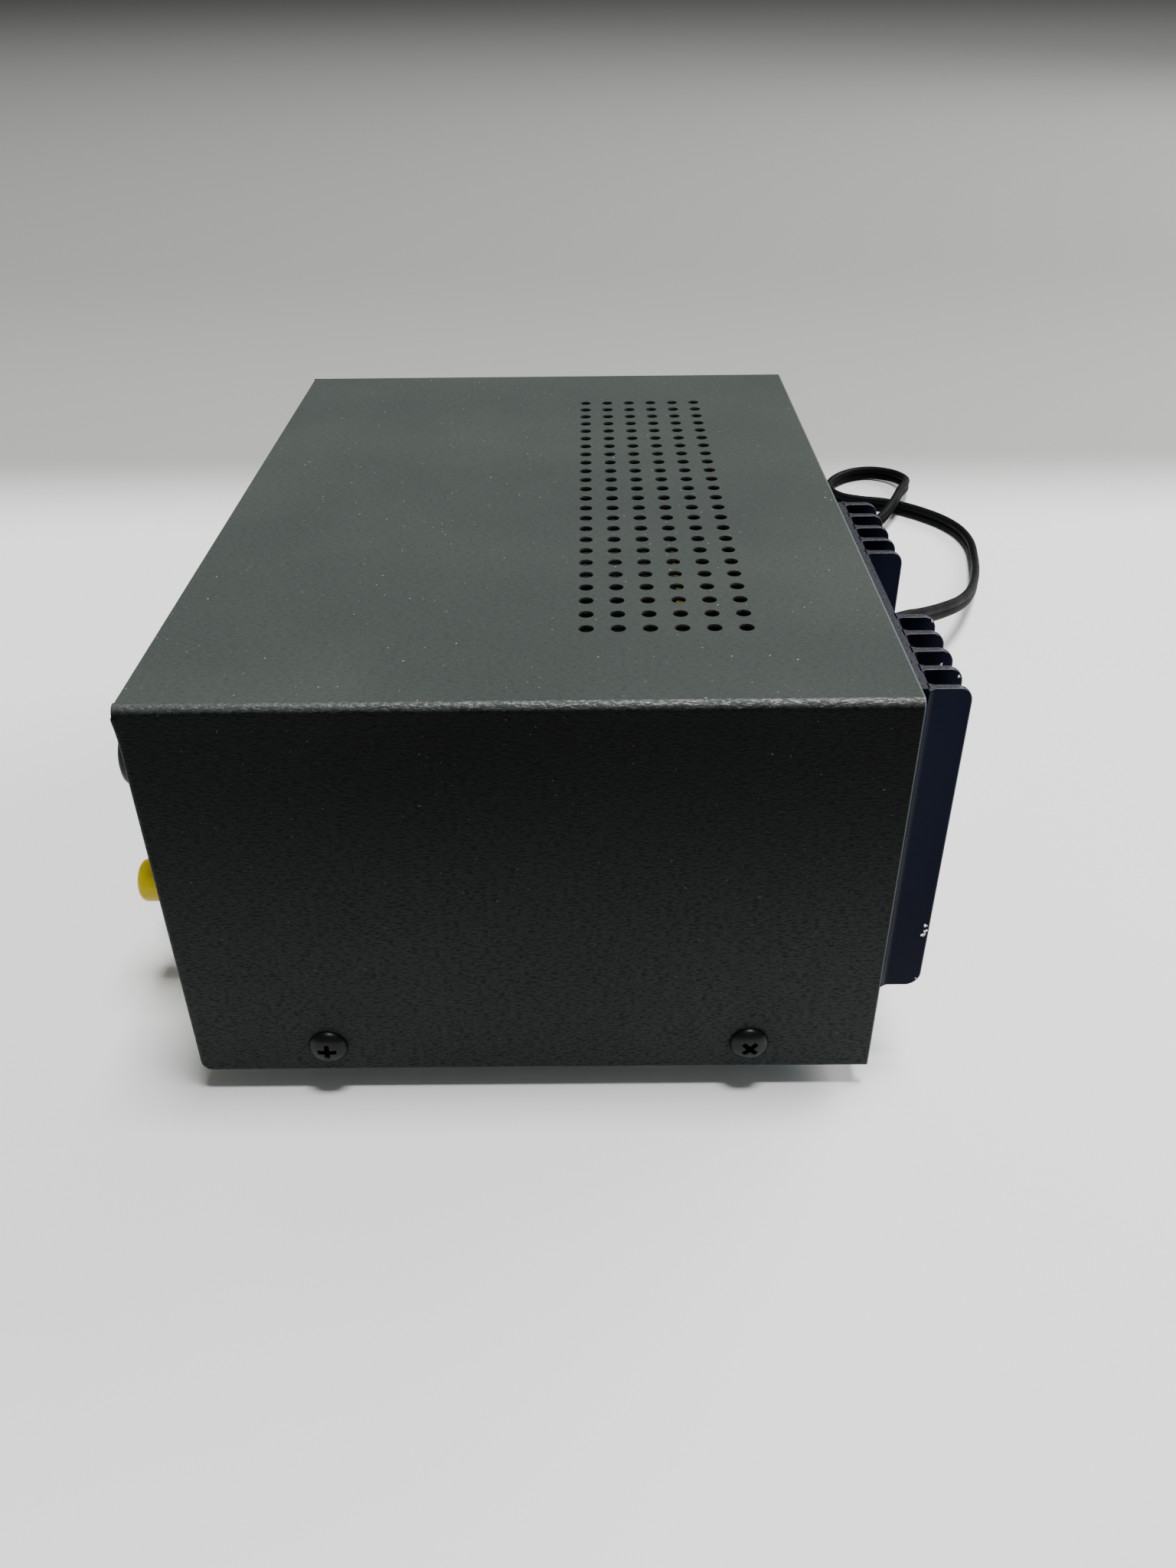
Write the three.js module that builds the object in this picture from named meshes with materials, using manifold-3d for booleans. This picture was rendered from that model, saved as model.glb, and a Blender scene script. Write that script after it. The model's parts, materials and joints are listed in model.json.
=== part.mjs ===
// Bench power supply: a folded steel case with a finned heat sink behind, and a
// front panel with a meter, two voltage knobs, a rocker switch and five posts.
// Millimetres. The front faces -Y, +X is to the right seen from the front, +Z is up,
// and the origin is on the floor under the middle of the case and its fittings.
import * as THREE from "three";
import { mergeVertices } from "three/addons/utils/BufferGeometryUtils.js";
import Module from "manifold-3d";

// ---------- driving dimensions ----------
const gap = 0.3; // clearance between two separate pieces
const sheet = 1; // steel sheet of the cover and the chassis
const coverWidth = 210;
const coverDepth = 149.5;
const coverHeight = 94;
const coverBend = 2; // outside radius where the sheet is folded
const lipDepth = 9; // edge folded inwards round the front opening
const lipRelief = 1.2; // notch that frees the lips at the corners
const footHeight = 6; // floor to the cover's lower edge
const footRadius = 7;
const footInsetX = 20;
const footInsetY = 18;

const ventPitch = 6.5;
const ventRadius = 1.6;
const ventRows = 24; // side to side
const ventColumns = 6; // front to back
const ventFromRear = 29.6;

const screwRadius = 1.9; // M4 shank
const screwLength = 7;
const screwHeadRadius = 4.3;
const screwHeadHeight = 2.3;
const screwFromFront = 29.6;
const screwFromRear = 27;
const screwRise = 7.4; // above the cover's lower edge
const screwTurns = [-10, 38]; // how far each recess happens to be turned

const chassisDrop = 1; // floor plate above the cover's lower edge
const flangeHeight = 20;
const panelReturn = 8; // top edge of the front and rear plates, folded inwards
const rearInset = 1; // rear plate inside the cover's rear edge
const fasciaThickness = 1.5;

const sinkFinPitch = 7.45;
const sinkFinThickness = 1.6;
const sinkFinsPerGroup = 5;
const sinkFlat = 31.2; // bare middle between the two groups of fins
const sinkBase = 3;
const sinkReach = 10.7; // beyond the cover's rear edge
const sinkHeight = 75;
const sinkDrop = 1.3; // top of the heat sink below the cover's top
const sinkInset = 6.9; // from the cover's right side
const sinkRound = 3;

const transistorLength = 39;
const transistorWidth = 25;
const transistorFlange = 1.6;
const canRadius = 10.5;
const canHeight = 5.8;
const pinSpacing = 10.9;
const pinRadius = 0.8;
const pinLength = 7;

const knobInset = 39; // right-hand knob and post from the cover's right side
const knobPitch = 38;
const knobRise = 65.8; // above the floor
const knobRadius = 7.8;
const knobReach = 15.4; // beyond the cover's front edge
const knobNutRoom = 3.2;
const shaftRadius = 2.5;
const bushingRadius = 3.6;
const potRadius = 8;
const potDepth = 9;
const nutAcross = 10;
const nutThickness = 2;

const postPitch = 19;
const postRise = 29.6;
const postCapRadius = 5.35;
const postReach = 19.6; // beyond the cover's front edge
const postStudRadius = 3;
const postSocketRadius = 2;
const postShankRadius = 4.2;
const postFlange = 3;
const postTail = 16;

const meterInset = 54; // middle of the meter from the cover's left side
const meterWidth = 62;
const meterHeight = 50;
const meterDepth = 8;
const meterWall = 2;
const meterSkirt = 7;
const meterTopGap = 14; // under the cover's top
const meterBarrel = 21;
const meterBarrelDepth = 22;
const needleLength = 29;
const needleRest = 45; // degrees left of upright
const zeroScrewRadius = 2.5;

const switchInset = 24; // from the cover's left side
const switchRise = 21;
const switchWidth = 15;
const switchHeight = 21;
const switchBezel = 2;
const switchDepth = 14;
const rockerTilt = 8; // degrees either side of level
const lampInset = 50;
const lampRadius = 2.5;

const coreWidth = 66;
const coreHeight = 55;
const coreStack = 34;
const coreInset = 20; // from the cover's left side
const coreFromRear = 37;
const windingBulge = 12;
const strap = 1.2;
const strapFoot = 11;

const boardWidth = 92;
const boardDepth = 100;
const boardThickness = 1.6;
const boardInset = 9; // from the cover's right side
const boardFromRear = 21;
const boardRise = 6;
const bossRadius = 3;
const bossInset = 5;
const capacitorRadius = 12.5;
const capacitorHeight = 40;
const capacitorPitch = 30;

const cordOutX = -60;
const cordOutZ = 32;
const cordHeight = 6; // the flat cord stands on its edge
const reliefLength = 26;
const coilMiddle = 34; // radius at the middle of the turns
const coilWide = 13;
const coilTall = 12.6;
const coilLift = 1.3;
const coilX = -190;
const coilY = 26;

const fuseInset = 20; // from the cover's left side
const fuseRise = 74;
const fuseBodyRadius = 6;
const fuseBore = 4;
const fuseDepth = 30;
const fuseCapLength = 8;

// ---------- places worked out from them ----------
const right = coverWidth / 2;
const front = -(coverDepth + postReach + sinkReach) / 2 + postReach;
const rear = front + coverDepth;
const bottom = footHeight;
const top = footHeight + coverHeight;
const inside = right - sheet - gap; // half the chassis' width
const floorUnder = bottom + chassisDrop;
const floorTop = floorUnder + sheet;
const ceiling = top - sheet - gap;
const fasciaFront = front + sheet + gap;
const fasciaBack = fasciaFront + fasciaThickness;
const plateFront = fasciaBack + gap;
const plateBack = plateFront + sheet;
const rearOut = rear - rearInset;
const rearIn = rearOut - sheet;
const firstX = right - knobInset;
const knobXs = [firstX, firstX - knobPitch];
const postXs = [0, 1, 2, 3, 4].map((k) => firstX - k * postPitch);
const meterX = -right + meterInset;
const meterTop = top - meterTopGap;
const meterBottom = meterTop - meterHeight;
const switchX = -right + switchInset;
const lampX = -right + lampInset;
const fuseX = -right + fuseInset;
const screwZ = bottom + screwRise;
const screwYs = [front + screwFromFront, rear - screwFromRear];
const sinkRight = right - sinkInset;
const groupWidth = (sinkFinsPerGroup - 1) * sinkFinPitch + sinkFinThickness;
const sinkLeft = sinkRight - 2 * groupWidth - sinkFlat;
const sinkMiddle = (sinkLeft + sinkRight) / 2;
const sinkTop = top - sinkDrop;
const sinkBack = rearOut + gap;
const sinkFace = sinkBack + sinkBase;
const sinkTip = rear + sinkReach;
const sinkMiddleZ = sinkTop - sinkHeight / 2;
const boardRight = right - boardInset;
const boardBack = rear - boardFromRear;
const boardUnder = floorTop + boardRise;

// ---------- shape helpers ----------
const wasm = await Module();
wasm.setup();

function solid(geometry) {
  const bare = geometry.index ? geometry.toNonIndexed() : geometry.clone();
  bare.deleteAttribute("normal");
  bare.deleteAttribute("uv");
  const merged = mergeVertices(bare, 1e-4);
  return new wasm.Manifold(
    new wasm.Mesh({
      numProp: 3,
      vertProperties: merged.attributes.position.array,
      triVerts: new Uint32Array(merged.index.array),
    }),
  );
}

function toGeometry(body) {
  const mesh = body.getMesh();
  const geometry = new THREE.BufferGeometry();
  geometry.setAttribute("position", new THREE.BufferAttribute(mesh.vertProperties, 3));
  geometry.setIndex(new THREE.BufferAttribute(mesh.triVerts, 1));
  geometry.computeVertexNormals();
  return geometry;
}

const join = (...bodies) => bodies.reduce((whole, body) => whole.add(body));
const cut = (body, ...tools) => tools.reduce((whole, tool) => whole.subtract(tool), body);

function box([x0, x1], [y0, y1], [z0, z1]) {
  const cuboid = new THREE.BoxGeometry(x1 - x0, y1 - y0, z1 - z0);
  return solid(cuboid.translate((x0 + x1) / 2, (y0 + y1) / 2, (z0 + z1) / 2));
}

// A block given by its middle along X and Z, from y0 to y1.
function block(x, z, width, height, y0, y1) {
  return box([x - width / 2, x + width / 2], [y0, y1], [z - height / 2, z + height / 2]);
}

const vector = (x, y, z) => new THREE.Vector3(x, y, z);
const planes = {
  x: new THREE.Matrix4().makeBasis(vector(0, 1, 0), vector(0, 0, 1), vector(1, 0, 0)),
  y: new THREE.Matrix4().makeBasis(vector(1, 0, 0), vector(0, 0, 1), vector(0, -1, 0)),
  z: new THREE.Matrix4(),
};

// An outline pushed along one axis. Its two numbers are Y and Z along x, X and Z along y,
// and X and Y along z.
function extrude(outline, axis, from, to, arcs = 4) {
  const shape = Array.isArray(outline)
    ? new THREE.Shape(outline.map(([a, b]) => new THREE.Vector2(a, b)))
    : outline;
  const settings = { depth: to - from, bevelEnabled: false, curveSegments: arcs };
  const geometry = new THREE.ExtrudeGeometry(shape, settings);
  geometry.translate(0, 0, axis === "y" ? -to : from);
  return solid(geometry.applyMatrix4(planes[axis]));
}

// A profile of radius and place, turned round an axis that is parallel to Y.
function turned(profile, x = 0, z = 0, sides = 14) {
  const points = profile.map(([radius, y]) => new THREE.Vector2(radius, y));
  return solid(new THREE.LatheGeometry(points, sides).translate(x, 0, z));
}

// The same, round an axis that stands upright at x, y.
function turnedUpright(profile, x = 0, y = 0, sides = 14) {
  const points = profile.map(([radius, z]) => new THREE.Vector2(radius, z));
  const geometry = new THREE.LatheGeometry(points, sides).rotateX(Math.PI / 2);
  return solid(geometry.translate(x, y, 0));
}

const rod = (radius, x, z, y0, y1, sides = 14) =>
  turned([[0, y0], [radius, y0], [radius, y1], [0, y1]], x, z, sides);

const post = (radius, x, y, z0, z1, sides = 14) =>
  turnedUpright([[0, z0], [radius, z0], [radius, z1], [0, z1]], x, y, sides);

// ---------- case ----------
// Upside-down U of the cover, moved inwards by an inset.
function coverOutline(inset) {
  const shape = new THREE.Shape();
  const half = right - inset;
  const roof = top - inset;
  const radius = coverBend - inset;
  shape.moveTo(-half, bottom - inset);
  shape.lineTo(half, bottom - inset);
  shape.lineTo(half, roof - radius);
  shape.absarc(half - radius, roof - radius, radius, 0, Math.PI / 2, false);
  shape.lineTo(-half + radius, roof);
  shape.absarc(-half + radius, roof - radius, radius, Math.PI / 2, Math.PI, false);
  shape.closePath();
  return shape;
}

function ventHoles() {
  const holes = [];
  const lastY = rear - ventFromRear;
  for (let row = 0; row < ventRows; row += 1) {
    for (let column = 0; column < ventColumns; column += 1) {
      const x = (row - (ventRows - 1) / 2) * ventPitch;
      const y = lastY - column * ventPitch;
      holes.push(post(ventRadius, x, y, top - 2 * sheet, top + sheet, 6));
    }
  }
  return holes.reduce((all, hole) => all.add(hole));
}

function sideScrewHoles() {
  const through = new THREE.CylinderGeometry(1, 1, 1, 12).rotateZ(Math.PI / 2);
  const radius = screwRadius + gap;
  const holes = screwYs.map((y) =>
    solid(through.clone().scale(3 * right, radius, radius).translate(0, y, screwZ)),
  );
  return join(...holes);
}

function makeCover() {
  const hollow = extrude(coverOutline(sheet), "y", front - sheet, rear + sheet);
  const shell = cut(extrude(coverOutline(0), "y", front, rear), hollow);
  const topLip = box(
    [-right + coverBend, right - coverBend],
    [front, front + sheet],
    [top - lipDepth, top - sheet / 2],
  );
  const sideLips = [-1, 1].map((side) => {
    const outer = side * (right - sheet / 2);
    const inner = side * (right - lipDepth);
    const across = [Math.min(outer, inner), Math.max(outer, inner)];
    return box(across, [front, front + sheet], [bottom, top - coverBend]);
  });
  const notch = coverBend + lipRelief;
  const notches = [-1, 1].map((side) =>
    block(side * (right - notch / 2), top - notch / 2, notch, notch, front - sheet, front + lipRelief),
  );
  return cut(join(shell, topLip, ...sideLips), ...notches, ventHoles(), sideScrewHoles());
}

const cordHole = () => rod(reliefNeck + gap, cordOutX, cordOutZ, rearIn - 1, rearOut + 1);
const fuseHole = () => rod(fuseBodyRadius + gap, fuseX, fuseRise, rearIn - 1, rearOut + 1);

// Everything that passes through the front panel, as cutting tools from y0 to y1.
function panelOpenings(y0, y1) {
  const pots = knobXs.map((x) => rod(bushingRadius + gap, x, knobRise, y0, y1));
  const posts = postXs.map((x) => rod(postShankRadius + gap, x, postRise, y0, y1));
  const meter = rod(meterBarrel + gap, meterX, (meterTop + meterBottom) / 2, y0, y1, 32);
  const lamp = rod(lampRadius + gap, lampX, switchRise, y0, y1);
  const across = switchWidth - 2 * switchBezel + 2 * gap;
  const high = switchHeight - 2 * switchBezel + 2 * gap;
  const rocker = block(switchX, switchRise, across, high, y0, y1);
  return [...pots, ...posts, meter, lamp, rocker];
}

const boardCorners = [-1, 1].flatMap((a) =>
  [-1, 1].map((b) => [
    boardRight - boardWidth / 2 + a * (boardWidth / 2 - bossInset),
    boardBack - boardDepth / 2 + b * (boardDepth / 2 - bossInset),
  ]),
);

function makeChassis() {
  const floor = box([-inside, inside], [plateFront, rearOut], [floorUnder, floorTop]);
  const frontPlate = box([-inside, inside], [plateFront, plateBack], [floorUnder, ceiling]);
  const rearPlate = box([-inside, inside], [rearIn, rearOut], [floorUnder, ceiling]);
  const returns = [
    box([-inside, inside], [plateFront, plateBack + panelReturn], [ceiling - sheet, ceiling]),
    box([-inside, inside], [rearIn - panelReturn, rearOut], [ceiling - sheet, ceiling]),
  ];
  const flangeTop = floorUnder + flangeHeight;
  const flanges = [
    box([-inside, -inside + sheet], [plateFront, rearOut], [floorUnder, flangeTop]),
    box([inside - sheet, inside], [plateFront, rearOut], [floorUnder, flangeTop]),
  ];
  const bosses = boardCorners.map(([x, y]) =>
    post(bossRadius, x, y, floorTop - sheet / 2, boardUnder - gap, 12),
  );
  const body = join(floor, frontPlate, rearPlate, ...returns, ...flanges, ...bosses);
  const openings = panelOpenings(plateFront - 1, plateBack + 1);
  const pins = block(sinkMiddle, sinkMiddleZ, 20, 24, rearIn - 1, rearOut + 1);
  return cut(body, ...openings, cordHole(), fuseHole(), pins, sideScrewHoles());
}

function makeFascia() {
  const half = inside - gap;
  const plate = box([-half, half], [fasciaFront, fasciaBack], [floorTop, ceiling]);
  return cut(plate, ...panelOpenings(fasciaFront - 1, fasciaBack + 1));
}

function makeFoot(x, y) {
  const seat = floorUnder - gap;
  const profile = [[0, 0], [footRadius - 1.5, 0], [footRadius - 0.8, 0.8], [footRadius, seat], [0, seat]];
  return turnedUpright(profile, x, y, 14);
}

// Pan head with a cross recess. The screw stands on +X of its own axis, then goes to its side.
function makeCoverScrew(side, y, turn) {
  const head = [
    [0, -screwLength],
    [screwRadius, -screwLength],
    [screwRadius, 0],
    [screwHeadRadius, 0],
    [screwHeadRadius, screwHeadHeight * 0.4],
    [screwHeadRadius * 0.86, screwHeadHeight * 0.76],
    [screwHeadRadius * 0.55, screwHeadHeight * 0.95],
    [0, screwHeadHeight],
  ];
  const arm = screwHeadRadius * 1.05;
  const arms = [[arm, 0.9], [0.9, arm]].map(([wide, high]) =>
    block(0, 0, wide, high, screwHeadHeight * 0.3, screwHeadHeight * 2),
  );
  const body = cut(turned(head), ...arms).rotate([0, turn, 0]);
  return body.rotate([0, 0, -side * 90]).translate([side * (right + gap), y, screwZ]);
}

// ---------- heat sink and its transistor ----------
function makeHeatSink() {
  const parts = [box([sinkLeft, sinkRight], [sinkBack, sinkFace], [0, 1])];
  for (let k = 0; k < sinkFinsPerGroup; k += 1) {
    const step = k * sinkFinPitch;
    const outer = sinkRight - step;
    const inner = sinkLeft + step;
    parts.push(box([outer - sinkFinThickness, outer], [sinkFace - 1, sinkTip], [0, 1]));
    parts.push(box([inner, inner + sinkFinThickness], [sinkFace - 1, sinkTip], [0, 1]));
  }
  const comb = join(...parts).scale([1, 1, sinkHeight]).translate([0, 0, sinkTop - sinkHeight]);
  const low = sinkTop - sinkHeight;
  const side = new THREE.Shape();
  side.moveTo(sinkBack - 1, low);
  side.absarc(sinkTip - sinkRound, low + sinkRound, sinkRound, -Math.PI / 2, 0, false);
  side.absarc(sinkTip - sinkRound, sinkTop - sinkRound, sinkRound, 0, Math.PI / 2, false);
  side.lineTo(sinkBack - 1, sinkTop);
  side.closePath();
  const rounded = comb.intersect(extrude(side, "x", sinkLeft - 1, sinkRight + 1));
  const pins = transistorPins(pinRadius + gap, sinkBack - 1, sinkFace + 1);
  return cut(rounded, ...pins);
}

const transistorPins = (radius, y0, y1) =>
  [-1, 1].map((side) => rod(radius, sinkMiddle + (side * pinSpacing) / 2, sinkMiddleZ, y0, y1, 8));

function makeTransistor() {
  const half = transistorLength / 2;
  const end = 4.5;
  const tangent = Math.PI / 3.2;
  const shape = new THREE.Shape();
  const around = (x, z, radius, from, to) =>
    shape.absarc(sinkMiddle + x, sinkMiddleZ + z, radius, from, to, false);
  around(0, half - end, end, Math.PI / 2 - tangent, Math.PI / 2 + tangent);
  around(0, 0, transistorWidth / 2, Math.PI - 0.5, Math.PI + 0.5);
  around(0, end - half, end, -Math.PI / 2 - tangent, -Math.PI / 2 + tangent);
  around(0, 0, transistorWidth / 2, -0.5, 0.5);
  shape.closePath();
  const seat = sinkFace + gap;
  const flange = extrude(shape, "y", seat, seat + transistorFlange);
  const can = rod(canRadius, sinkMiddle, sinkMiddleZ, seat + 0.5, seat + transistorFlange + canHeight, 24);
  const pins = transistorPins(pinRadius, seat - pinLength, seat + 1);
  return join(flange, can, ...pins);
}

// ---------- knobs ----------
const knobTip = front - knobReach;
const knobFoot = fasciaFront - gap;

function makeKnob(x) {
  const bore = shaftRadius + gap;
  const room = nutAcross / Math.sqrt(3) + gap;
  const profile = [
    [0, knobTip],
    [knobRadius - 1.4, knobTip],
    [knobRadius - 0.4, knobTip + 1],
    [knobRadius, knobTip + 3],
    [knobRadius, knobFoot],
    [room, knobFoot],
    [room, knobFoot - knobNutRoom],
    [bore, knobFoot - knobNutRoom],
    [bore, knobTip + 4],
    [0, knobTip + 4],
  ];
  const mark = box([x - 0.5, x + 0.5], [knobTip - 1, knobTip + 0.6], [knobRise + 1, knobRise + knobRadius]);
  return cut(turned(profile, x, knobRise, 18), mark);
}

function makeShaft(x) {
  return rod(shaftRadius, x, knobRise, knobTip + 4 + gap, plateBack + potDepth / 2, 12);
}

function makePot(x) {
  const bore = shaftRadius + gap;
  const back = plateBack + gap;
  const bushingTip = fasciaFront - nutThickness - 2 * gap;
  const profile = [
    [bore, bushingTip],
    [bushingRadius, bushingTip],
    [bushingRadius, back],
    [potRadius, back],
    [potRadius, back + potDepth],
    [0, back + potDepth],
    [0, plateBack + potDepth / 2 + gap],
    [bore, plateBack + potDepth / 2 + gap],
    [bore, bushingTip],
  ];
  return turned(profile, x, knobRise);
}

function makePotNut(x) {
  const corner = nutAcross / Math.sqrt(3);
  const y = fasciaFront - gap;
  const hexagon = rod(corner, x, knobRise, y - nutThickness, y, 6);
  return cut(hexagon, rod(bushingRadius + gap, x, knobRise, y - nutThickness - 1, y + 1));
}

// ---------- binding posts ----------
const postTip = front - postReach;
const postSeat = fasciaFront - gap - postFlange;

function makePostCap(x) {
  const bore = postStudRadius + gap;
  const foot = postSeat - gap;
  const profile = [
    [postSocketRadius + gap, postTip],
    [postCapRadius - 1.6, postTip],
    [postCapRadius - 0.5, postTip + 0.5],
    [postCapRadius, postTip + 1.7],
    [postCapRadius, foot],
    [bore, foot],
    [bore, postTip + 2.4],
    [postSocketRadius + gap, postTip + 2.4],
    [postSocketRadius + gap, postTip],
  ];
  return turned(profile, x, postRise, 14);
}

function makePostStud(x) {
  const tip = postTip + 2.4 + gap;
  const profile = [
    [postSocketRadius, tip],
    [postStudRadius, tip],
    [postStudRadius, plateBack + 4],
    [postStudRadius / 2, plateBack + 4],
    [postStudRadius / 2, plateBack + postTail],
    [0, plateBack + postTail],
    [0, postSeat - 1],
    [postSocketRadius, postSeat - 1],
    [postSocketRadius, tip],
  ];
  return turned(profile, x, postRise, 10);
}

function makePostBase(x) {
  const bore = postStudRadius + gap;
  const profile = [
    [bore, postSeat],
    [postCapRadius, postSeat],
    [postCapRadius, postSeat + postFlange],
    [postShankRadius, postSeat + postFlange],
    [postShankRadius, plateBack + 3],
    [bore, plateBack + 3],
    [bore, postSeat],
  ];
  return turned(profile, x, postRise);
}

// ---------- meter ----------
const meterZ = (meterTop + meterBottom) / 2;
const meterBack = fasciaFront - gap;
const meterFace = meterBack - meterDepth;
const meterFloor = meterBack - meterWall;
const pocketHalf = meterWidth / 2 - meterWall;
const pocketLow = meterBottom + meterWall + meterSkirt;
const pocketHigh = meterTop - meterWall;
const windowThickness = 1.2;
const dialThickness = 0.6;
const dialFront = meterFloor - gap - dialThickness;
const pivotZ = pocketLow + 3.6;
const zeroZ = (meterBottom + pocketLow) / 2;

function makeMeterCase() {
  const body = block(meterX, meterZ, meterWidth, meterHeight, meterFace, meterBack);
  const barrel = rod(meterBarrel, meterX, meterZ, meterBack - 1, plateBack + meterBarrelDepth, 32);
  const pocket = box(
    [meterX - pocketHalf, meterX + pocketHalf],
    [meterFace - 1, meterFloor],
    [pocketLow, pocketHigh],
  );
  const zeroHole = rod(zeroScrewRadius + gap, meterX, zeroZ, meterFace - 1, meterFace + 2.2);
  return cut(join(body, barrel), pocket, zeroHole);
}

function makeMeterWindow() {
  const half = pocketHalf - gap;
  return box(
    [meterX - half, meterX + half],
    [meterFace, meterFace + windowThickness],
    [pocketLow + gap, pocketHigh - gap],
  );
}

function makeMeterDial() {
  const half = pocketHalf - gap;
  return box(
    [meterX - half, meterX + half],
    [dialFront, dialFront + dialThickness],
    [pocketLow + gap, pocketHigh - gap],
  );
}

function makeNeedle() {
  const back = dialFront - gap;
  const hub = rod(2.2, 0, 0, back - 2, back, 12);
  const pointer = extrude([[-0.6, -5], [0.6, -5], [0.2, needleLength], [-0.2, needleLength]], "y", back - 1.4, back - 0.8);
  const balanced = cut(join(hub, pointer), box([-3, 3], [back - 3, back + 1], [-6, -3]));
  return balanced.rotate([0, -needleRest, 0]).translate([meterX, 0, pivotZ]);
}

function makeZeroScrew() {
  const slot = block(meterX, zeroZ, 2 * zeroScrewRadius - 0.6, 0.9, meterFace - 1, meterFace + 0.9);
  return cut(rod(zeroScrewRadius, meterX, zeroZ, meterFace, meterFace + 2.2 - gap, 16), slot);
}

// ---------- switch and lamp ----------
const switchFace = fasciaFront - gap - switchBezel;
const rockerHalf = (switchHeight - 2 * switchBezel) / 2 - 1.2;
const rockerWide = switchWidth - 2 * switchBezel - 2.4;
const pivotY = switchFace + 2.6;

function makeSwitchFrame() {
  const across = switchWidth - 2 * switchBezel;
  const high = switchHeight - 2 * switchBezel;
  const bezel = block(switchX, switchRise, switchWidth, switchHeight, switchFace, fasciaFront - gap);
  const body = block(switchX, switchRise, across, high, switchFace, plateBack + switchDepth);
  const wide = rockerWide + 2 * gap;
  const tall = 2 * rockerHalf + 2 * gap;
  const pocket = block(switchX, switchRise, wide, tall, switchFace - 1, pivotY + 5);
  return cut(join(bezel, body), pocket);
}

// The rocker's ends are arcs round its pivot, so it turns inside its pocket.
function makeRocker() {
  const rise = 0.45;
  const shape = new THREE.Shape();
  shape.moveTo(3.2, 0);
  shape.absarc(0, 0, rockerHalf, Math.PI / 2 - 0.15, Math.PI / 2 + rise, false);
  shape.lineTo(-2.2, 0);
  shape.absarc(0, 0, rockerHalf, -Math.PI / 2 - rise, -Math.PI / 2 + 0.15, false);
  shape.closePath();
  const half = rockerWide / 2;
  const body = extrude(shape, "x", -half, half, 6);
  return body.rotate([rockerTilt, 0, 0]).translate([switchX, pivotY, switchRise]);
}

function makeLamp() {
  const seat = fasciaFront - gap;
  const profile = [
    [0, seat - 3],
    [lampRadius * 0.6, seat - 2.6],
    [lampRadius, seat - 1.4],
    [lampRadius, seat - 0.8],
    [lampRadius + 0.9, seat - 0.8],
    [lampRadius + 0.9, seat],
    [lampRadius, seat],
    [lampRadius, plateBack + 6],
    [0, plateBack + 6],
  ];
  return turned(profile, lampX, switchRise, 12);
}

// ---------- inside the case ----------
const coreLeft = -right + coreInset;
const coreX = coreLeft + coreWidth / 2;
const coreBack = rear - coreFromRear;
const coreFront = coreBack - coreStack;
const coreUnder = floorTop + gap + strap + gap;
const legHalf = coreWidth / 6; // middle leg of the E laminations is a third of the width
const yoke = coreWidth / 6;
const windowWide = coreWidth / 6;

function makeCore() {
  const body = box([coreLeft, coreLeft + coreWidth], [coreFront, coreBack], [coreUnder, coreUnder + coreHeight]);
  const windows = [-1, 1].map((side) =>
    block(
      coreX + side * (legHalf + windowWide / 2),
      coreUnder + coreHeight / 2,
      windowWide,
      coreHeight - 2 * yoke,
      coreFront - 1,
      coreBack + 1,
    ),
  );
  return cut(body, ...windows);
}

function makeWinding() {
  const half = legHalf + windowWide - gap;
  const low = coreUnder + yoke + gap;
  const high = coreUnder + coreHeight - yoke - gap;
  const outer = box([coreX - half, coreX + half], [coreFront - windingBulge, coreBack + windingBulge], [low, high]);
  const leg = box([coreX - legHalf - gap, coreX + legHalf + gap], [coreFront - gap, coreBack + gap], [low - 1, high + 1]);
  return cut(outer, leg);
}

function makeBracket() {
  const half = coreWidth / 2 + gap;
  const under = floorTop + gap;
  const roof = coreUnder + coreHeight + gap;
  const outline = [
    [-half - strapFoot, under],
    [-half, under],
    [-half, roof],
    [half, roof],
    [half, under],
    [half + strapFoot, under],
    [half + strapFoot, under + strap],
    [half + strap, under + strap],
    [half + strap, roof + strap],
    [-half - strap, roof + strap],
    [-half - strap, under + strap],
    [-half - strapFoot, under + strap],
  ];
  const placed = outline.map(([x, z]) => [coreX + x, z]);
  return extrude(placed, "y", coreFront + 3, coreBack - 3);
}

function makeBoard() {
  return box(
    [boardRight - boardWidth, boardRight],
    [boardBack - boardDepth, boardBack],
    [boardUnder, boardUnder + boardThickness],
  );
}

function makeCapacitor(k) {
  const x = boardRight - boardWidth / 2 + (k - 0.5) * capacitorPitch;
  const y = boardBack - boardDepth * 0.62;
  const z = boardUnder + boardThickness + gap;
  return post(capacitorRadius, x, y, z, z + capacitorHeight, 20);
}

function makeRectifier() {
  const x = boardRight - boardWidth * 0.2;
  const y = boardBack - boardDepth * 0.2;
  const z = boardUnder + boardThickness + gap;
  return box([x - 14, x + 14], [y - 14, y + 14], [z, z + 11]);
}

// ---------- fuse ----------
const fuseSeat = rearOut + gap;
const fuseFlange = 2;

function makeFuseHolder() {
  const inner = rearIn - fuseDepth;
  const profile = [
    [0, inner],
    [fuseBodyRadius, inner],
    [fuseBodyRadius, fuseSeat],
    [fuseBodyRadius + 1.5, fuseSeat],
    [fuseBodyRadius + 1.5, fuseSeat + fuseFlange],
    [fuseBore + gap, fuseSeat + fuseFlange],
    [fuseBore + gap, inner + 2],
    [0, inner + 2],
  ];
  return turned(profile, fuseX, fuseRise);
}

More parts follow.
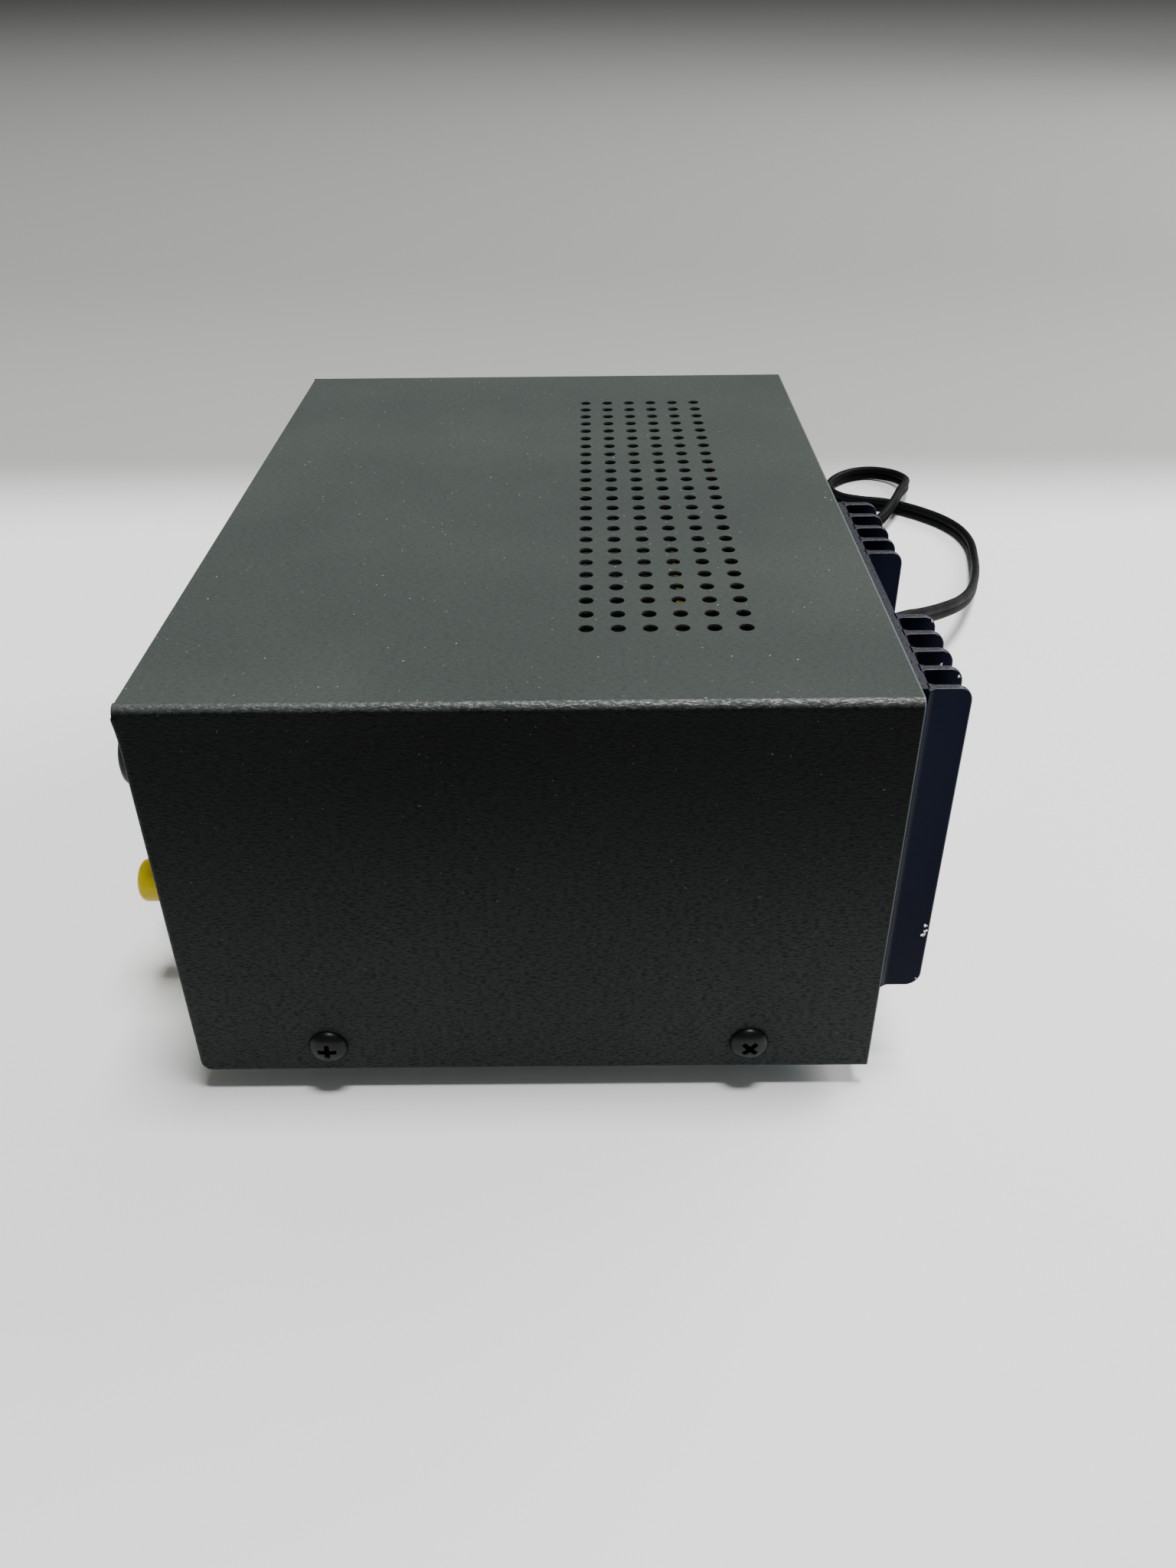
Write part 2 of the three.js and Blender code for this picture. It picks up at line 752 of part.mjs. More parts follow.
function makeFuseCap() {
  const seat = fuseSeat + fuseFlange + gap;
  const stem = rearIn - fuseDepth + 4;
  const tip = seat + fuseCapLength;
  const profile = [
    [0, stem],
    [fuseBore, stem],
    [fuseBore, seat],
    [fuseBodyRadius, seat],
    [fuseBodyRadius, tip - 1],
    [fuseBodyRadius - 1, tip],
    [0, tip],
  ];
  const slot = block(fuseX, fuseRise, 8, 1.2, tip - 1.5, tip + 1);
  return cut(turned(profile, fuseX, fuseRise), slot);
}

// ---------- mains cord ----------
const reliefNeck = 5.6;
const reliefTip = rearOut + reliefLength;

function makeStrainRelief() {
  const profile = [
    [0, rearIn - 5],
    [reliefNeck, rearIn - 5],
    [reliefNeck, rearOut + gap],
    [reliefNeck + 2.4, rearOut + gap],
    [reliefNeck + 2.4, rearOut + 2.5],
    [reliefNeck - 0.4, rearOut + 3.5],
    [cordHeight / 2 + 0.9, reliefTip],
    [0, reliefTip],
  ];
  return turned(profile, cordOutX, cordOutZ);
}

// From the strain relief down to the floor, round the large loop, round the small one and
// over its own start, then behind the case to the coil.
const cordRoute = [
  [-60, 104.5, 32],
  [-60.2, 111, 32],
  [-65, 117.5, 32],
  [-72.5, 123.2, 31.2],
  [-79, 128.5, 28.6],
  [-86, 135, 25],
  [-95.5, 142.5, 21.3],
  [-109, 151.5, 17],
  [-124, 159.5, 12.6],
  [-141, 166.5, 8.4],
  [-157, 171.7, 5.4],
  [-172, 175.5, 3.8],
  [-190, 178.7, 3.2],
  [-204, 178, 3.2],
  [-215, 174.1, 3.2],
  [-224, 167.9, 3.2],
  [-232, 159.9, 3.2],
  [-237.6, 151.1, 3.2],
  [-240.6, 141.1, 3.2],
  [-245.6, 132.9, 3.2],
  [-256, 129.5, 3.2],
  [-267, 133.7, 3.2],
  [-275.6, 142.5, 3.2],
  [-278.4, 152.9, 3.3],
  [-273, 162.1, 3.8],
  [-262, 165.9, 5],
  [-249, 163.3, 7.4],
  [-237, 158.1, 9.4],
  [-224, 152.5, 9.2],
  [-212, 144.9, 6.6],
  [-204, 134.9, 4.2],
  [-201.4, 122.5, 3.4],
  [-204, 108.5, 3.2],
  [-211, 94.5, 3.2],
  [-219, 80.5, 3.2],
  [-227, 64.5, 3.2],
  [-232.6, 49.5, 3.2],
  [-233.6, 36, 3.2],
];

function octagon(radius) {
  const corners = [...Array(8)].map((_, k) => {
    const angle = ((k + 0.5) * Math.PI) / 4;
    return new THREE.Vector2(radius * Math.cos(angle), radius * Math.sin(angle));
  });
  return new THREE.Shape(corners);
}

function makeCordRun() {
  const start = reliefTip + gap - cordRoute[0][1];
  const points = cordRoute.map(([x, y, z], k) => vector(x, k ? y : y + start, z));
  const extrudePath = new THREE.CatmullRomCurve3(points, false, "centripetal");
  return solid(new THREE.ExtrudeGeometry(octagon(cordHeight / 2), { steps: 62, extrudePath }));
}

function makeCordCoil() {
  const [inner, outer] = [coilMiddle - coilWide / 2, coilMiddle + coilWide / 2];
  const [low, high] = [coilLift, coilLift + coilTall];
  const profile = [[inner, low], [outer, low], [outer, high], [inner, high], [inner, low]];
  return turnedUpright(profile, coilX, coilY, 32);
}

function makeCordTie() {
  const half = coilWide / 2 + gap;
  const y = coilY + coilMiddle;
  const across = [coilX - 2.5, coilX + 2.5];
  const wall = 0.8;
  const outer = box(across, [y - half - wall, y + half + wall], [coilLift - gap - wall, coilLift + coilTall + gap + wall]);
  const inner = box([coilX - 3, coilX + 3], [y - half, y + half], [coilLift - gap, coilLift + coilTall + gap]);
  return cut(outer, inner);
}

const plugWide = 20;
const plugTall = 12;
const plugBody = 24;
const plugTail = 14;
const tailHalf = 4;
const plugZ = plugTall / 2 + 0.2;
const plugX = coilX - coilMiddle + tailHalf / 2; // the cord leaves the coil along -Y
const coilOuter = coilMiddle + coilWide / 2;
const tailInner = coilX - plugX - tailHalf;
const plugStart = coilY - Math.sqrt((coilOuter + gap) ** 2 - tailInner ** 2);
const plugFace = plugStart - plugTail - plugBody;

function makePlugBody() {
  const half = plugWide / 2;
  const outline = [
    [-tailHalf, plugStart],
    [-half + 1, plugStart - plugTail],
    [-half, plugStart - plugTail - 3],
    [-half, plugFace + 2],
    [-half + 2, plugFace],
    [half - 2, plugFace],
    [half, plugFace + 2],
    [half, plugStart - plugTail - 3],
    [half - 1, plugStart - plugTail],
    [tailHalf, plugStart],
  ];
  const placed = outline.map(([x, y]) => [plugX + x, y]);
  return extrude(placed, "z", plugZ - plugTall / 2, plugZ + plugTall / 2);
}

function makePlugBlade(side) {
  const x = plugX + side * 6.35;
  return box([x - 0.75, x + 0.75], [plugFace - gap - 16, plugFace - gap], [plugZ - 3.15, plugZ + 3.15]);
}

// ---------- the assembly ----------
const finish = (color, roughness, metalness) =>
  new THREE.MeshStandardMaterial({ color, roughness, metalness });
const finishes = {
  darkPaint: finish("#4a4e4e", 0.62, 0.1),
  zincSteel: finish("#a9adb0", 0.45, 0.9),
  fasciaPaint: finish("#c9cbc6", 0.55, 0.1),
  anodised: finish("#191926", 0.4, 0.75),
  rubber: finish("#17181a", 0.85, 0),
  blackZinc: finish("#1d1e20", 0.35, 0.7),
  blackPlastic: finish("#151517", 0.42, 0),
  clearPlastic: new THREE.MeshStandardMaterial({
    color: "#e6eef0",
    roughness: 0.08,
    transparent: true,
    opacity: 0.25,
  }),
  dialPaper: finish("#efeee8", 0.7, 0),
  needleBlack: finish("#141414", 0.5, 0),
  nickel: finish("#c6c8ca", 0.25, 1),
  lamp: finish("#c22a1c", 0.2, 0),
  laminations: finish("#6b6d70", 0.5, 0.8),
  tape: finish("#c9a63a", 0.5, 0),
  boardGreen: finish("#2c5a37", 0.5, 0),
  sleeveBlue: finish("#243a6b", 0.35, 0),
  cord: finish("#17181a", 0.55, 0),
};
const capColours = ["#b3a800", "#b3201c", "#151517", "#1f4fa3", "#1c7a3a"];

const supply = new THREE.Group();
supply.name = "bench_power_supply";

function add(name, body, material) {
  const mesh = new THREE.Mesh(toGeometry(body), material);
  mesh.name = name;
  supply.add(mesh);
}

add("cover", makeCover(), finishes.darkPaint);
add("chassis", makeChassis(), finishes.zincSteel);
add("fascia", makeFascia(), finishes.fasciaPaint);
add("heat_sink", makeHeatSink(), finishes.anodised);
add("transistor", makeTransistor(), finishes.nickel);

const ends = { front: front + footInsetY, rear: rear - footInsetY };
for (const [end, y] of Object.entries(ends)) {
  add(`foot_${end}_left`, makeFoot(-right + footInsetX, y), finishes.rubber);
  add(`foot_${end}_right`, makeFoot(right - footInsetX, y), finishes.rubber);
}
["front", "rear"].forEach((end, k) => {
  add(`cover_screw_${end}_left`, makeCoverScrew(-1, screwYs[k], screwTurns[1 - k]), finishes.blackZinc);
  add(`cover_screw_${end}_right`, makeCoverScrew(1, screwYs[k], screwTurns[k]), finishes.blackZinc);
});

knobXs.forEach((x, k) => {
  add(`voltage_knob_${k + 1}`, makeKnob(x), finishes.blackPlastic);
  add(`pot_shaft_${k + 1}`, makeShaft(x), finishes.nickel);
  add(`pot_${k + 1}`, makePot(x), finishes.zincSteel);
  add(`pot_nut_${k + 1}`, makePotNut(x), finishes.nickel);
});

postXs.forEach((x, k) => {
  const colour = finish(capColours[k], 0.25, 0);
  add(`post_cap_${k + 1}`, makePostCap(x), colour);
  add(`post_stud_${k + 1}`, makePostStud(x), finishes.nickel);
  add(`post_base_${k + 1}`, makePostBase(x), colour);
});

add("meter_case", makeMeterCase(), finishes.blackPlastic);
add("meter_window", makeMeterWindow(), finishes.clearPlastic);
add("meter_dial", makeMeterDial(), finishes.dialPaper);
add("meter_needle", makeNeedle(), finishes.needleBlack);
add("meter_zero_screw", makeZeroScrew(), finishes.blackPlastic);
add("switch_frame", makeSwitchFrame(), finishes.blackPlastic);
add("power_rocker", makeRocker(), finishes.blackPlastic);
add("lamp", makeLamp(), finishes.lamp);

add("transformer_core", makeCore(), finishes.laminations);
add("transformer_winding", makeWinding(), finishes.tape);
add("transformer_bracket", makeBracket(), finishes.zincSteel);
add("circuit_board", makeBoard(), finishes.boardGreen);
add("capacitor_1", makeCapacitor(0), finishes.sleeveBlue);
add("capacitor_2", makeCapacitor(1), finishes.sleeveBlue);
add("bridge_rectifier", makeRectifier(), finishes.blackPlastic);
add("fuse_holder", makeFuseHolder(), finishes.blackPlastic);
add("fuse_cap", makeFuseCap(), finishes.blackPlastic);

add("strain_relief", makeStrainRelief(), finishes.rubber);
add("cord_run", makeCordRun(), finishes.cord);
add("cord_coil", makeCordCoil(), finishes.cord);
add("cord_tie", makeCordTie(), finishes.cord);
add("plug_body", makePlugBody(), finishes.rubber);
add("plug_blade_left", makePlugBlade(-1), finishes.nickel);
add("plug_blade_right", makePlugBlade(1), finishes.nickel);

export default supply;
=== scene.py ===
# %% [markdown]
# # A bench power supply, built as a lesson
# A bench supply is a folded steel case with a finned heat sink behind, and a front panel with a
# meter, knobs and binding posts. Its working parts arrive as a fixed frame of named solids. This
# lesson dresses that frame: it gives each piece its fine shape and its finish, and leaves every
# place and size as the frame has them. All numbers below are millimetres until they meet Blender.

# %% Open the frame
import json
import math

import bmesh
import bpy
import numpy as np
from mathutils import Matrix, Vector


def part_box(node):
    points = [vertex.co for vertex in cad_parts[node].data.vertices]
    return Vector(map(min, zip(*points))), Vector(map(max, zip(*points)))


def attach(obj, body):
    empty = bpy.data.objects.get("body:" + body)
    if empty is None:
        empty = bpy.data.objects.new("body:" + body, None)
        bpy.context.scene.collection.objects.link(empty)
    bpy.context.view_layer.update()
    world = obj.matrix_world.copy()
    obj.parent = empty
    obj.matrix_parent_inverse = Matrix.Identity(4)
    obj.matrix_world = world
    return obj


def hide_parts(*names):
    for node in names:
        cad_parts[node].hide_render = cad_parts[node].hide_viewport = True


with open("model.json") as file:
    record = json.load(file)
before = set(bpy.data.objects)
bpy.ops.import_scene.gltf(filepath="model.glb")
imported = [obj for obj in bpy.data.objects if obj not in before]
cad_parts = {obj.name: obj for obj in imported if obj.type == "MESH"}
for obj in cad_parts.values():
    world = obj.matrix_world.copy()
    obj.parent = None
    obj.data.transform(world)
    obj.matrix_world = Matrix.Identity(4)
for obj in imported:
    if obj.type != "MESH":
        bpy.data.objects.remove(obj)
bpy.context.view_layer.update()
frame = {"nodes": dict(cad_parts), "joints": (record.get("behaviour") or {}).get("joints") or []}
nodes = frame["nodes"]
MM = 0.001

# %% [markdown]
# ## Measuring the frame
# Every piece is placed from the solid it dresses. One could copy numbers from the drawing, but a
# number that is read from the solid can't drift from it, so `span` reads a solid's two corners
# and `middle_of` the point between them.


# %% Read a solid's corners and middle
def span(node):
    """Lowest and highest corner of a solid, in millimetres."""
    low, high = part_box(node)
    return [round(v / MM, 3) for v in low], [round(v / MM, 3) for v in high]


def middle_of(node):
    low, high = span(node)
    return [(a + b) / 2 for a, b in zip(low, high)]


cover_low, cover_high = span("cover")
print("cover from", cover_low, "to", cover_high)

# %% [markdown]
# ## The camera
# A viewer sits to the right of the supply and looks down at its side. A camera could be aimed with
# a constraint, but the view's slight roll would then need a second one. Building its three axes
# from yaw, pitch and roll gives them all at once.


# %% Camera
def camera_axes(yaw, pitch, roll):
    """Right, up and forward of a camera that looks along -X when all three angles are zero."""
    flat = math.cos(pitch)
    forward = Vector((-math.cos(yaw) * flat, math.sin(yaw) * flat, -math.sin(pitch)))
    level = Vector((math.sin(yaw), math.cos(yaw), 0))
    lifted = level.cross(forward)
    right = math.cos(roll) * level + math.sin(roll) * lifted
    up = -math.sin(roll) * level + math.cos(roll) * lifted
    return right, up, forward


def place_camera(location, angles, lens):
    data = bpy.data.cameras.new("camera")
    data.lens = lens
    data.sensor_width = 36
    camera = bpy.data.objects.new("camera", data)
    bpy.context.scene.collection.objects.link(camera)
    right, up, forward = camera_axes(*[math.radians(angle) for angle in angles])
    turn = Matrix((right, up, -forward)).transposed().to_4x4()
    camera.matrix_world = Matrix.Translation(Vector(location) * MM) @ turn
    bpy.context.scene.camera = camera
    return camera


camera = place_camera((300.26, 17.96, 214.27), (-0.206, 34.01, -0.614), lens=28.48)
print("camera at", [round(v, 3) for v in camera.location])

# %% [markdown]
# ## Small tools for nodes
# Finishes and rules are both trees of nodes. They could be drawn by hand, but a script can be read
# and run again. One function adds a node, and links or fills each of its inputs.


# %% Node tools
def add_node(tree, kind, inputs=None, **settings):
    """Adds a node. An input is a value, or the output of another node."""
    made = tree.nodes.new(kind)
    for name, value in settings.items():
        setattr(made, name, value)
    for name, value in (inputs or {}).items():
        if isinstance(value, bpy.types.NodeSocket):
            tree.links.new(value, made.inputs[name])
        else:
            made.inputs[name].default_value = value
    return made


def linear(code):
    """An sRGB colour such as #2c2f30 as Blender's linear numbers."""
    channels = [int(code[k : k + 2], 16) / 255 for k in (1, 3, 5)]
    curve = [c / 12.92 if c <= 0.04045 else ((c + 0.055) / 1.055) ** 2.4 for c in channels]
    return (*curve, 1.0)


def new_finish(name):
    """A material with one shader, and the place on the object that its patterns read."""
    material = bpy.data.materials.new(name)
    material.use_nodes = True
    tree = material.node_tree
    tree.nodes.clear()
    shader = add_node(tree, "ShaderNodeBsdfPrincipled")
    add_node(tree, "ShaderNodeOutputMaterial", {"Surface": shader.outputs[0]})
    place = add_node(tree, "ShaderNodeTexCoord").outputs["Object"]
    return material, tree, shader, place


def grain(tree, place, size, stretch=(1, 1, 1), detail=2.0, distortion=0.0):
    """Noise whose spots are about `size` across, drawn out along an axis by `stretch`."""
    scale = [1 / (size * MM * s) for s in stretch]
    mapped = add_node(tree, "ShaderNodeMapping", {"Vector": place, "Scale": scale}).outputs[0]
    settings = {"Vector": mapped, "Scale": 1.0, "Detail": detail, "Distortion": distortion}
    return add_node(tree, "ShaderNodeTexNoise", settings).outputs["Fac"]


def ramp(tree, value, start, end, first=0.0, last=1.0):
    """Runs smoothly from `first` to `last` as a value goes from `start` to `end`."""
    inputs = {"Value": value, "From Min": start, "From Max": end, "To Min": first, "To Max": last}
    return add_node(tree, "ShaderNodeMapRange", inputs, interpolation_type="SMOOTHSTEP").outputs[0]


def blend(tree, share, first, second):
    """Mixes two colours, each a code or an output."""
    ends = [linear(c) if isinstance(c, str) else c for c in (first, second)]
    inputs = {0: share, 6: ends[0], 7: ends[1]}
    return add_node(tree, "ShaderNodeMix", inputs, data_type="RGBA").outputs[2]


def relief(tree, shader, height, depth, strength=1.0, under=None):
    """Bump of a real depth, on top of an earlier one."""
    inputs = {"Height": height, "Distance": depth * MM, "Strength": strength}
    if under:
        inputs["Normal"] = under
    out = add_node(tree, "ShaderNodeBump", inputs).outputs[0]
    tree.links.new(out, shader.inputs["Normal"])
    return out


def feed(tree, shader, **links):
    """Links outputs into the shader's colour and roughness."""
    for name, output in links.items():
        tree.links.new(output, shader.inputs[name.replace("_", " ").title()])


# %% [markdown]
# ## Floor and light
# Small goods are shown on a pale sweep under a wide soft lamp. The sweep could be a curved sheet,
# but that would hide the object from the far side, so a flat floor is painted darker where the
# sweep would rise, as painted shade of the rising sweep. One large lamp overhead makes the soft
# shadow, and a pale sky fills the sides.


# %% Floor
def make_floor(half=12000, rise=-272):
    material, tree, shader, place = new_finish("pale_sweep")
    across = add_node(tree, "ShaderNodeSeparateXYZ", {0: place}).outputs[0]
    # Painted shade: past this line the floor is painted darker, and darker still further back, for
    # the shaded rise of the sweep.
    painted_sweep_shade = ramp(tree, across, (rise - 50) * MM, (rise + 62) * MM, 1.0, 0.0)
    far = ramp(tree, across, -0.8, -0.29, 1.0, 0.0)
    mottle = ramp(tree, grain(tree, place, 90, detail=3), 0.3, 0.7, 0.0, 0.35)
    paper = blend(tree, mottle, "#e8e9e8", "#e1e2e1")
    wall = blend(tree, far, "#939491", "#81827f")
    feed(tree, shader, base_color=blend(tree, painted_sweep_shade, paper, wall))
    shader.inputs["Roughness"].default_value = 0.7
    shader.inputs["Specular IOR Level"].default_value = 0.2
    mesh = bpy.data.meshes.new("floor")
    corners = [(x * half * MM, y * half * MM, 0) for x, y in ((-1, -1), (1, -1), (1, 1), (-1, 1))]
    mesh.from_pydata(corners, [], [(0, 1, 2, 3)])
    mesh.materials.append(material)
    floor = bpy.data.objects.new("floor", mesh)
    bpy.context.scene.collection.objects.link(floor)
    return floor


make_floor()
print("floor laid")


# %% Lamps and sky
def add_lamp(name, place, aim, size, watts, colour="#ffffff"):
    data = bpy.data.lights.new(name, "AREA")
    data.shape = "RECTANGLE"
    data.size, data.size_y = [s * MM for s in size]
    data.energy = watts
    data.color = linear(colour)[:3]
    lamp = bpy.data.objects.new(name, data)
    lamp.location = Vector(place) * MM
    lamp.rotation_euler = (Vector(aim) - Vector(place)).to_track_quat("-Z", "Y").to_euler()
    bpy.context.scene.collection.objects.link(lamp)


def light_sky(colour, strength):
    world = bpy.data.worlds.new("sky")
    bpy.context.scene.world = world
    world.use_nodes = True
    back = world.node_tree.nodes["Background"]
    back.inputs["Color"].default_value = linear(colour)
    back.inputs["Strength"].default_value = strength


add_lamp("overhead", (40, 560, 5000), (0, 0, 0), (1300, 1300), 430)
add_lamp("panel", (-1200, 1700, 1300), (0, 0, 0), (1600, 1000), 55)
light_sky("#dfe3e1", 0.24)
print("lamp and sky lit")

# %% [markdown]
# ## Small tools for meshes
# Almost every hard piece here is a row of rings with a skin between them: a turned knob, a fin, a
# plug or a cord. Blender's own cylinder would give plain ends, so one `loft` skins any rings and
# closes them, and `soften` rounds the edges as a mould or a file does.


# %% Skin a row of rings
def link_mesh(name, points, faces, finish=None):
    mesh = bpy.data.meshes.new(name)
    mesh.from_pydata([[c * MM for c in p] for p in points], [], faces)
    if finish:
        mesh.materials.append(finish)
    obj = bpy.data.objects.new(name, mesh)
    bpy.context.scene.collection.objects.link(obj)
    return obj


def face_outwards(obj):
    work = bmesh.new()
    work.from_mesh(obj.data)
    bmesh.ops.recalc_face_normals(work, faces=work.faces)
    work.to_mesh(obj.data)
    work.free()


def loft(name, rings, finish=None, loop=False):
    """A skin over rings of equal count, closed by end faces, or by its first ring if `loop`."""
    count = len(rings[0])
    points = [p for ring in rings for p in ring]
    last = len(rings) if loop else len(rings) - 1
    faces = []
    for k in range(last):
        low, high = k * count, (k + 1) % len(rings) * count
        for i in range(count):
            j = (i + 1) % count
            faces.append((low + i, low + j, high + j, high + i))
    if not loop:
        faces.append(tuple(reversed(range(count))))
        faces.append(tuple(range((len(rings) - 1) * count, len(rings) * count)))
    obj = link_mesh(name, points, faces, finish)
    face_outwards(obj)
    return obj


def aimed(axis, a, b, along):
    """A point given across and along an axis. The first two are Y Z, X Z or X Y."""
    return {"x": (along, a, b), "y": (a, along, b), "z": (a, b, along)}[axis]


def circle(axis, middle, radius, along, sides):
    steps = [2 * math.pi * k / sides for k in range(sides)]
    a, b = middle
    return [aimed(axis, a + radius * math.cos(t), b + radius * math.sin(t), along) for t in steps]


def turned(name, profile, axis, middle, finish=None, sides=48, loop=False):
    """A turned piece. Its profile is radius and place along the axis."""
    rings = [circle(axis, middle, r, along, sides) for r, along in profile if r > 0]
    return loft(name, rings, finish, loop)


def pushed(name, outline, axis, low, high, finish=None):
    """An outline pushed along an axis."""
    rings = [[aimed(axis, a, b, along) for a, b in outline] for along in (low, high)]
    return loft(name, rings, finish)


def rounded_outline(a0, a1, b0, b1, radius, steps=5):
    """A rectangle with round corners, counter-clockwise."""
    middles = [(a1 - radius, b0 + radius), (a1 - radius, b1 - radius)]
    middles += [(a0 + radius, b1 - radius), (a0 + radius, b0 + radius)]
    outline = []
    for corner, (a, b) in enumerate(middles):
        for k in range(steps + 1):
            angle = math.radians(90 * (corner - 1) + 90 * k / steps)
            outline.append((a + radius * math.cos(angle), b + radius * math.sin(angle)))
    return outline


def framed(name, outer, inner, axis, low, high, finish=None):
    """A frame between two outlines of equal count."""
    path = [(outer, low), (outer, high), (inner, high), (inner, low)]
    rings = [[aimed(axis, a, b, along) for a, b in outline] for outline, along in path]
    return loft(name, rings, finish, loop=True)


print("mesh tools ready")


# %% Apply, soften, carve and join
def bake(obj):
    """Turns what the modifiers make into a plain mesh."""
    graph = bpy.context.evaluated_depsgraph_get()
    made = bpy.data.meshes.new_from_object(
        obj.evaluated_get(graph), preserve_all_data_layers=True, depsgraph=graph
    )
    obj.modifiers.clear()
    obj.data = made
    return obj


def soften(obj, width=0.25, segments=2, angle=32):
    """Rounds the edges that turn by more than an angle, and keeps the flats flat."""
    bevel = obj.modifiers.new("edges", "BEVEL")
    bevel.width = width * MM
    bevel.segments = segments
    bevel.limit_method = "ANGLE"
    bevel.angle_limit = math.radians(angle)
    obj.data.shade_smooth()
    obj.modifiers.new("flats", "WEIGHTED_NORMAL").keep_sharp = True
    return bake(obj)


def carve(obj, *tools):
    """Cuts other pieces out of one, and clears them away."""
    for tool in tools:
        cut = obj.modifiers.new("cut", "BOOLEAN")
        cut.object = tool
        cut.operation = "DIFFERENCE"
        cut.solver = "EXACT"
    bake(obj)
    for tool in tools:
        bpy.data.objects.remove(tool)
    return obj


def joined(name, parts):
    """Several meshes as one piece, all in the first finish that they hold."""
    work = bmesh.new()
    for part in parts:
        work.from_mesh(part.data)
    mesh = bpy.data.meshes.new(name)
    work.to_mesh(mesh)
    work.free()
    mesh.materials.append(next(m for part in parts for m in part.data.materials if m))
    mesh.polygons.foreach_set("material_index", [0] * len(mesh.polygons))
    obj = bpy.data.objects.new(name, mesh)
    bpy.context.scene.collection.objects.link(obj)
    for part in parts:
        bpy.data.objects.remove(part)
    return obj


def dress(obj, body, slot, *stands_for):
    """Lets a finished piece ride on its body and stand for its solids."""
    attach(obj, body)
    if stands_for:
        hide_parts(*stands_for)
    faces = sum(len(p.vertices) - 2 for p in obj.data.polygons)
    print(f"{obj.name}: {faces} triangles on {body}")
    return obj


# %% [markdown]
# ## Small tools for rules
# Vents, fins, screws and dial marks repeat. A modifier such as Array could copy them, but a
# Geometry Nodes tree keeps the rule, its sizes and its finish in one place. `new_rule` opens a
# tree with named sizes, `close_rule` makes its copies real, and `grow` runs it once.


# %% Rule tools
SOCKETS = {int: "NodeSocketInt", float: "NodeSocketFloat", type(None): "NodeSocketObject"}


def new_rule(title, **sizes):
    tree = bpy.data.node_groups.new(title, "GeometryNodeTree")
    tree.interface.new_socket("Geometry", in_out="INPUT", socket_type="NodeSocketGeometry")
    for label, value in sizes.items():
        made = tree.interface.new_socket(label, in_out="INPUT", socket_type=SOCKETS[type(value)])
        if value is not None:
            made.default_value = value
    tree.interface.new_socket("Geometry", in_out="OUTPUT", socket_type="NodeSocketGeometry")
    return tree, add_node(tree, "NodeGroupInput").outputs


def close_rule(tree, geometry, finish):
    real = add_node(tree, "GeometryNodeRealizeInstances", {"Geometry": geometry}).outputs[0]
    done = add_node(tree, "GeometryNodeSetMaterial", {"Geometry": real, "Material": finish})
    add_node(tree, "NodeGroupOutput", {"Geometry": done.outputs[0]})


def grow(obj, tree, **values):
    modifier = obj.modifiers.new("rule", "NODES")
    modifier.node_group = tree
    for item in tree.interface.items_tree:
        if item.in_out == "INPUT" and item.name in values:
            modifier[item.identifier] = values[item.name]
    return bake(obj)


def sums(tree, operation, first, second):
    return add_node(tree, "ShaderNodeMath", {0: first, 1: second}, operation=operation).outputs[0]


def vector(tree, **parts):
    return add_node(tree, "ShaderNodeCombineXYZ", parts).outputs[0]


def gathered(tree, *geometries):
    made = add_node(tree, "GeometryNodeJoinGeometry")
    for geometry in geometries:
        tree.links.new(geometry, made.inputs[0])
    return made.outputs[0]


def copies(tree, points, piece, **more):
    inputs = {"Points": points, "Instance": piece, **more}
    return add_node(tree, "GeometryNodeInstanceOnPoints", inputs).outputs[0]


def shape_of(tree, socket):
    return add_node(tree, "GeometryNodeObjectInfo", {"Object": socket}).outputs["Geometry"]


print("rule tools ready")

# %% [markdown]
# ## Finish: PVC cord
# Mains cord is black PVC with a dull skin that picks up dust. A flat black would look like a hole,
# so the colour drifts a little and the roughness follows a fine grain.


# %% Plain moulded finishes
def moulded(name, colour, other, roughness, size=0.35, depth=0.02, metallic=0.0, patch=14, shine=0.5):
    """A moulded, painted or plated skin: two close colours, a grain and an uneven gloss."""
    material, tree, shader, place = new_finish(name)
    drift = ramp(tree, grain(tree, place, patch, detail=3), 0.35, 0.7)
    feed(tree, shader, base_color=blend(tree, drift, colour, other))
    uneven = grain(tree, place, patch / 3, detail=4)
    feed(tree, shader, roughness=ramp(tree, uneven, 0.25, 0.75, roughness * 0.85, roughness * 1.12))
    relief(tree, shader, grain(tree, place, size), depth, 0.6)
    shader.inputs["Metallic"].default_value = metallic
    shader.inputs["Specular IOR Level"].default_value = shine
    return material


cord_pvc = moulded("cord_pvc", "#080909", "#0e1010", 0.58, size=0.5, depth=0.03, patch=25, shine=0.05)
relief_rubber = moulded("relief_rubber", "#101112", "#17191a", 0.5, size=0.3, depth=0.03, shine=0.3)
print("finishes:", cord_pvc.name, relief_rubber.name)

# %% [markdown]
# ## The mains cord
# The cord is 1.8 m of flat twin flex, 6 mm high on its edge. It leaves the rear plate, falls to
# the table and lies in two loops, and the spare length is wound behind the case and tied. A cloth
# or rope simulation could lay it, but it would move with every small change. A route of points with a
# smooth curve through them is steady, and its length can be measured.

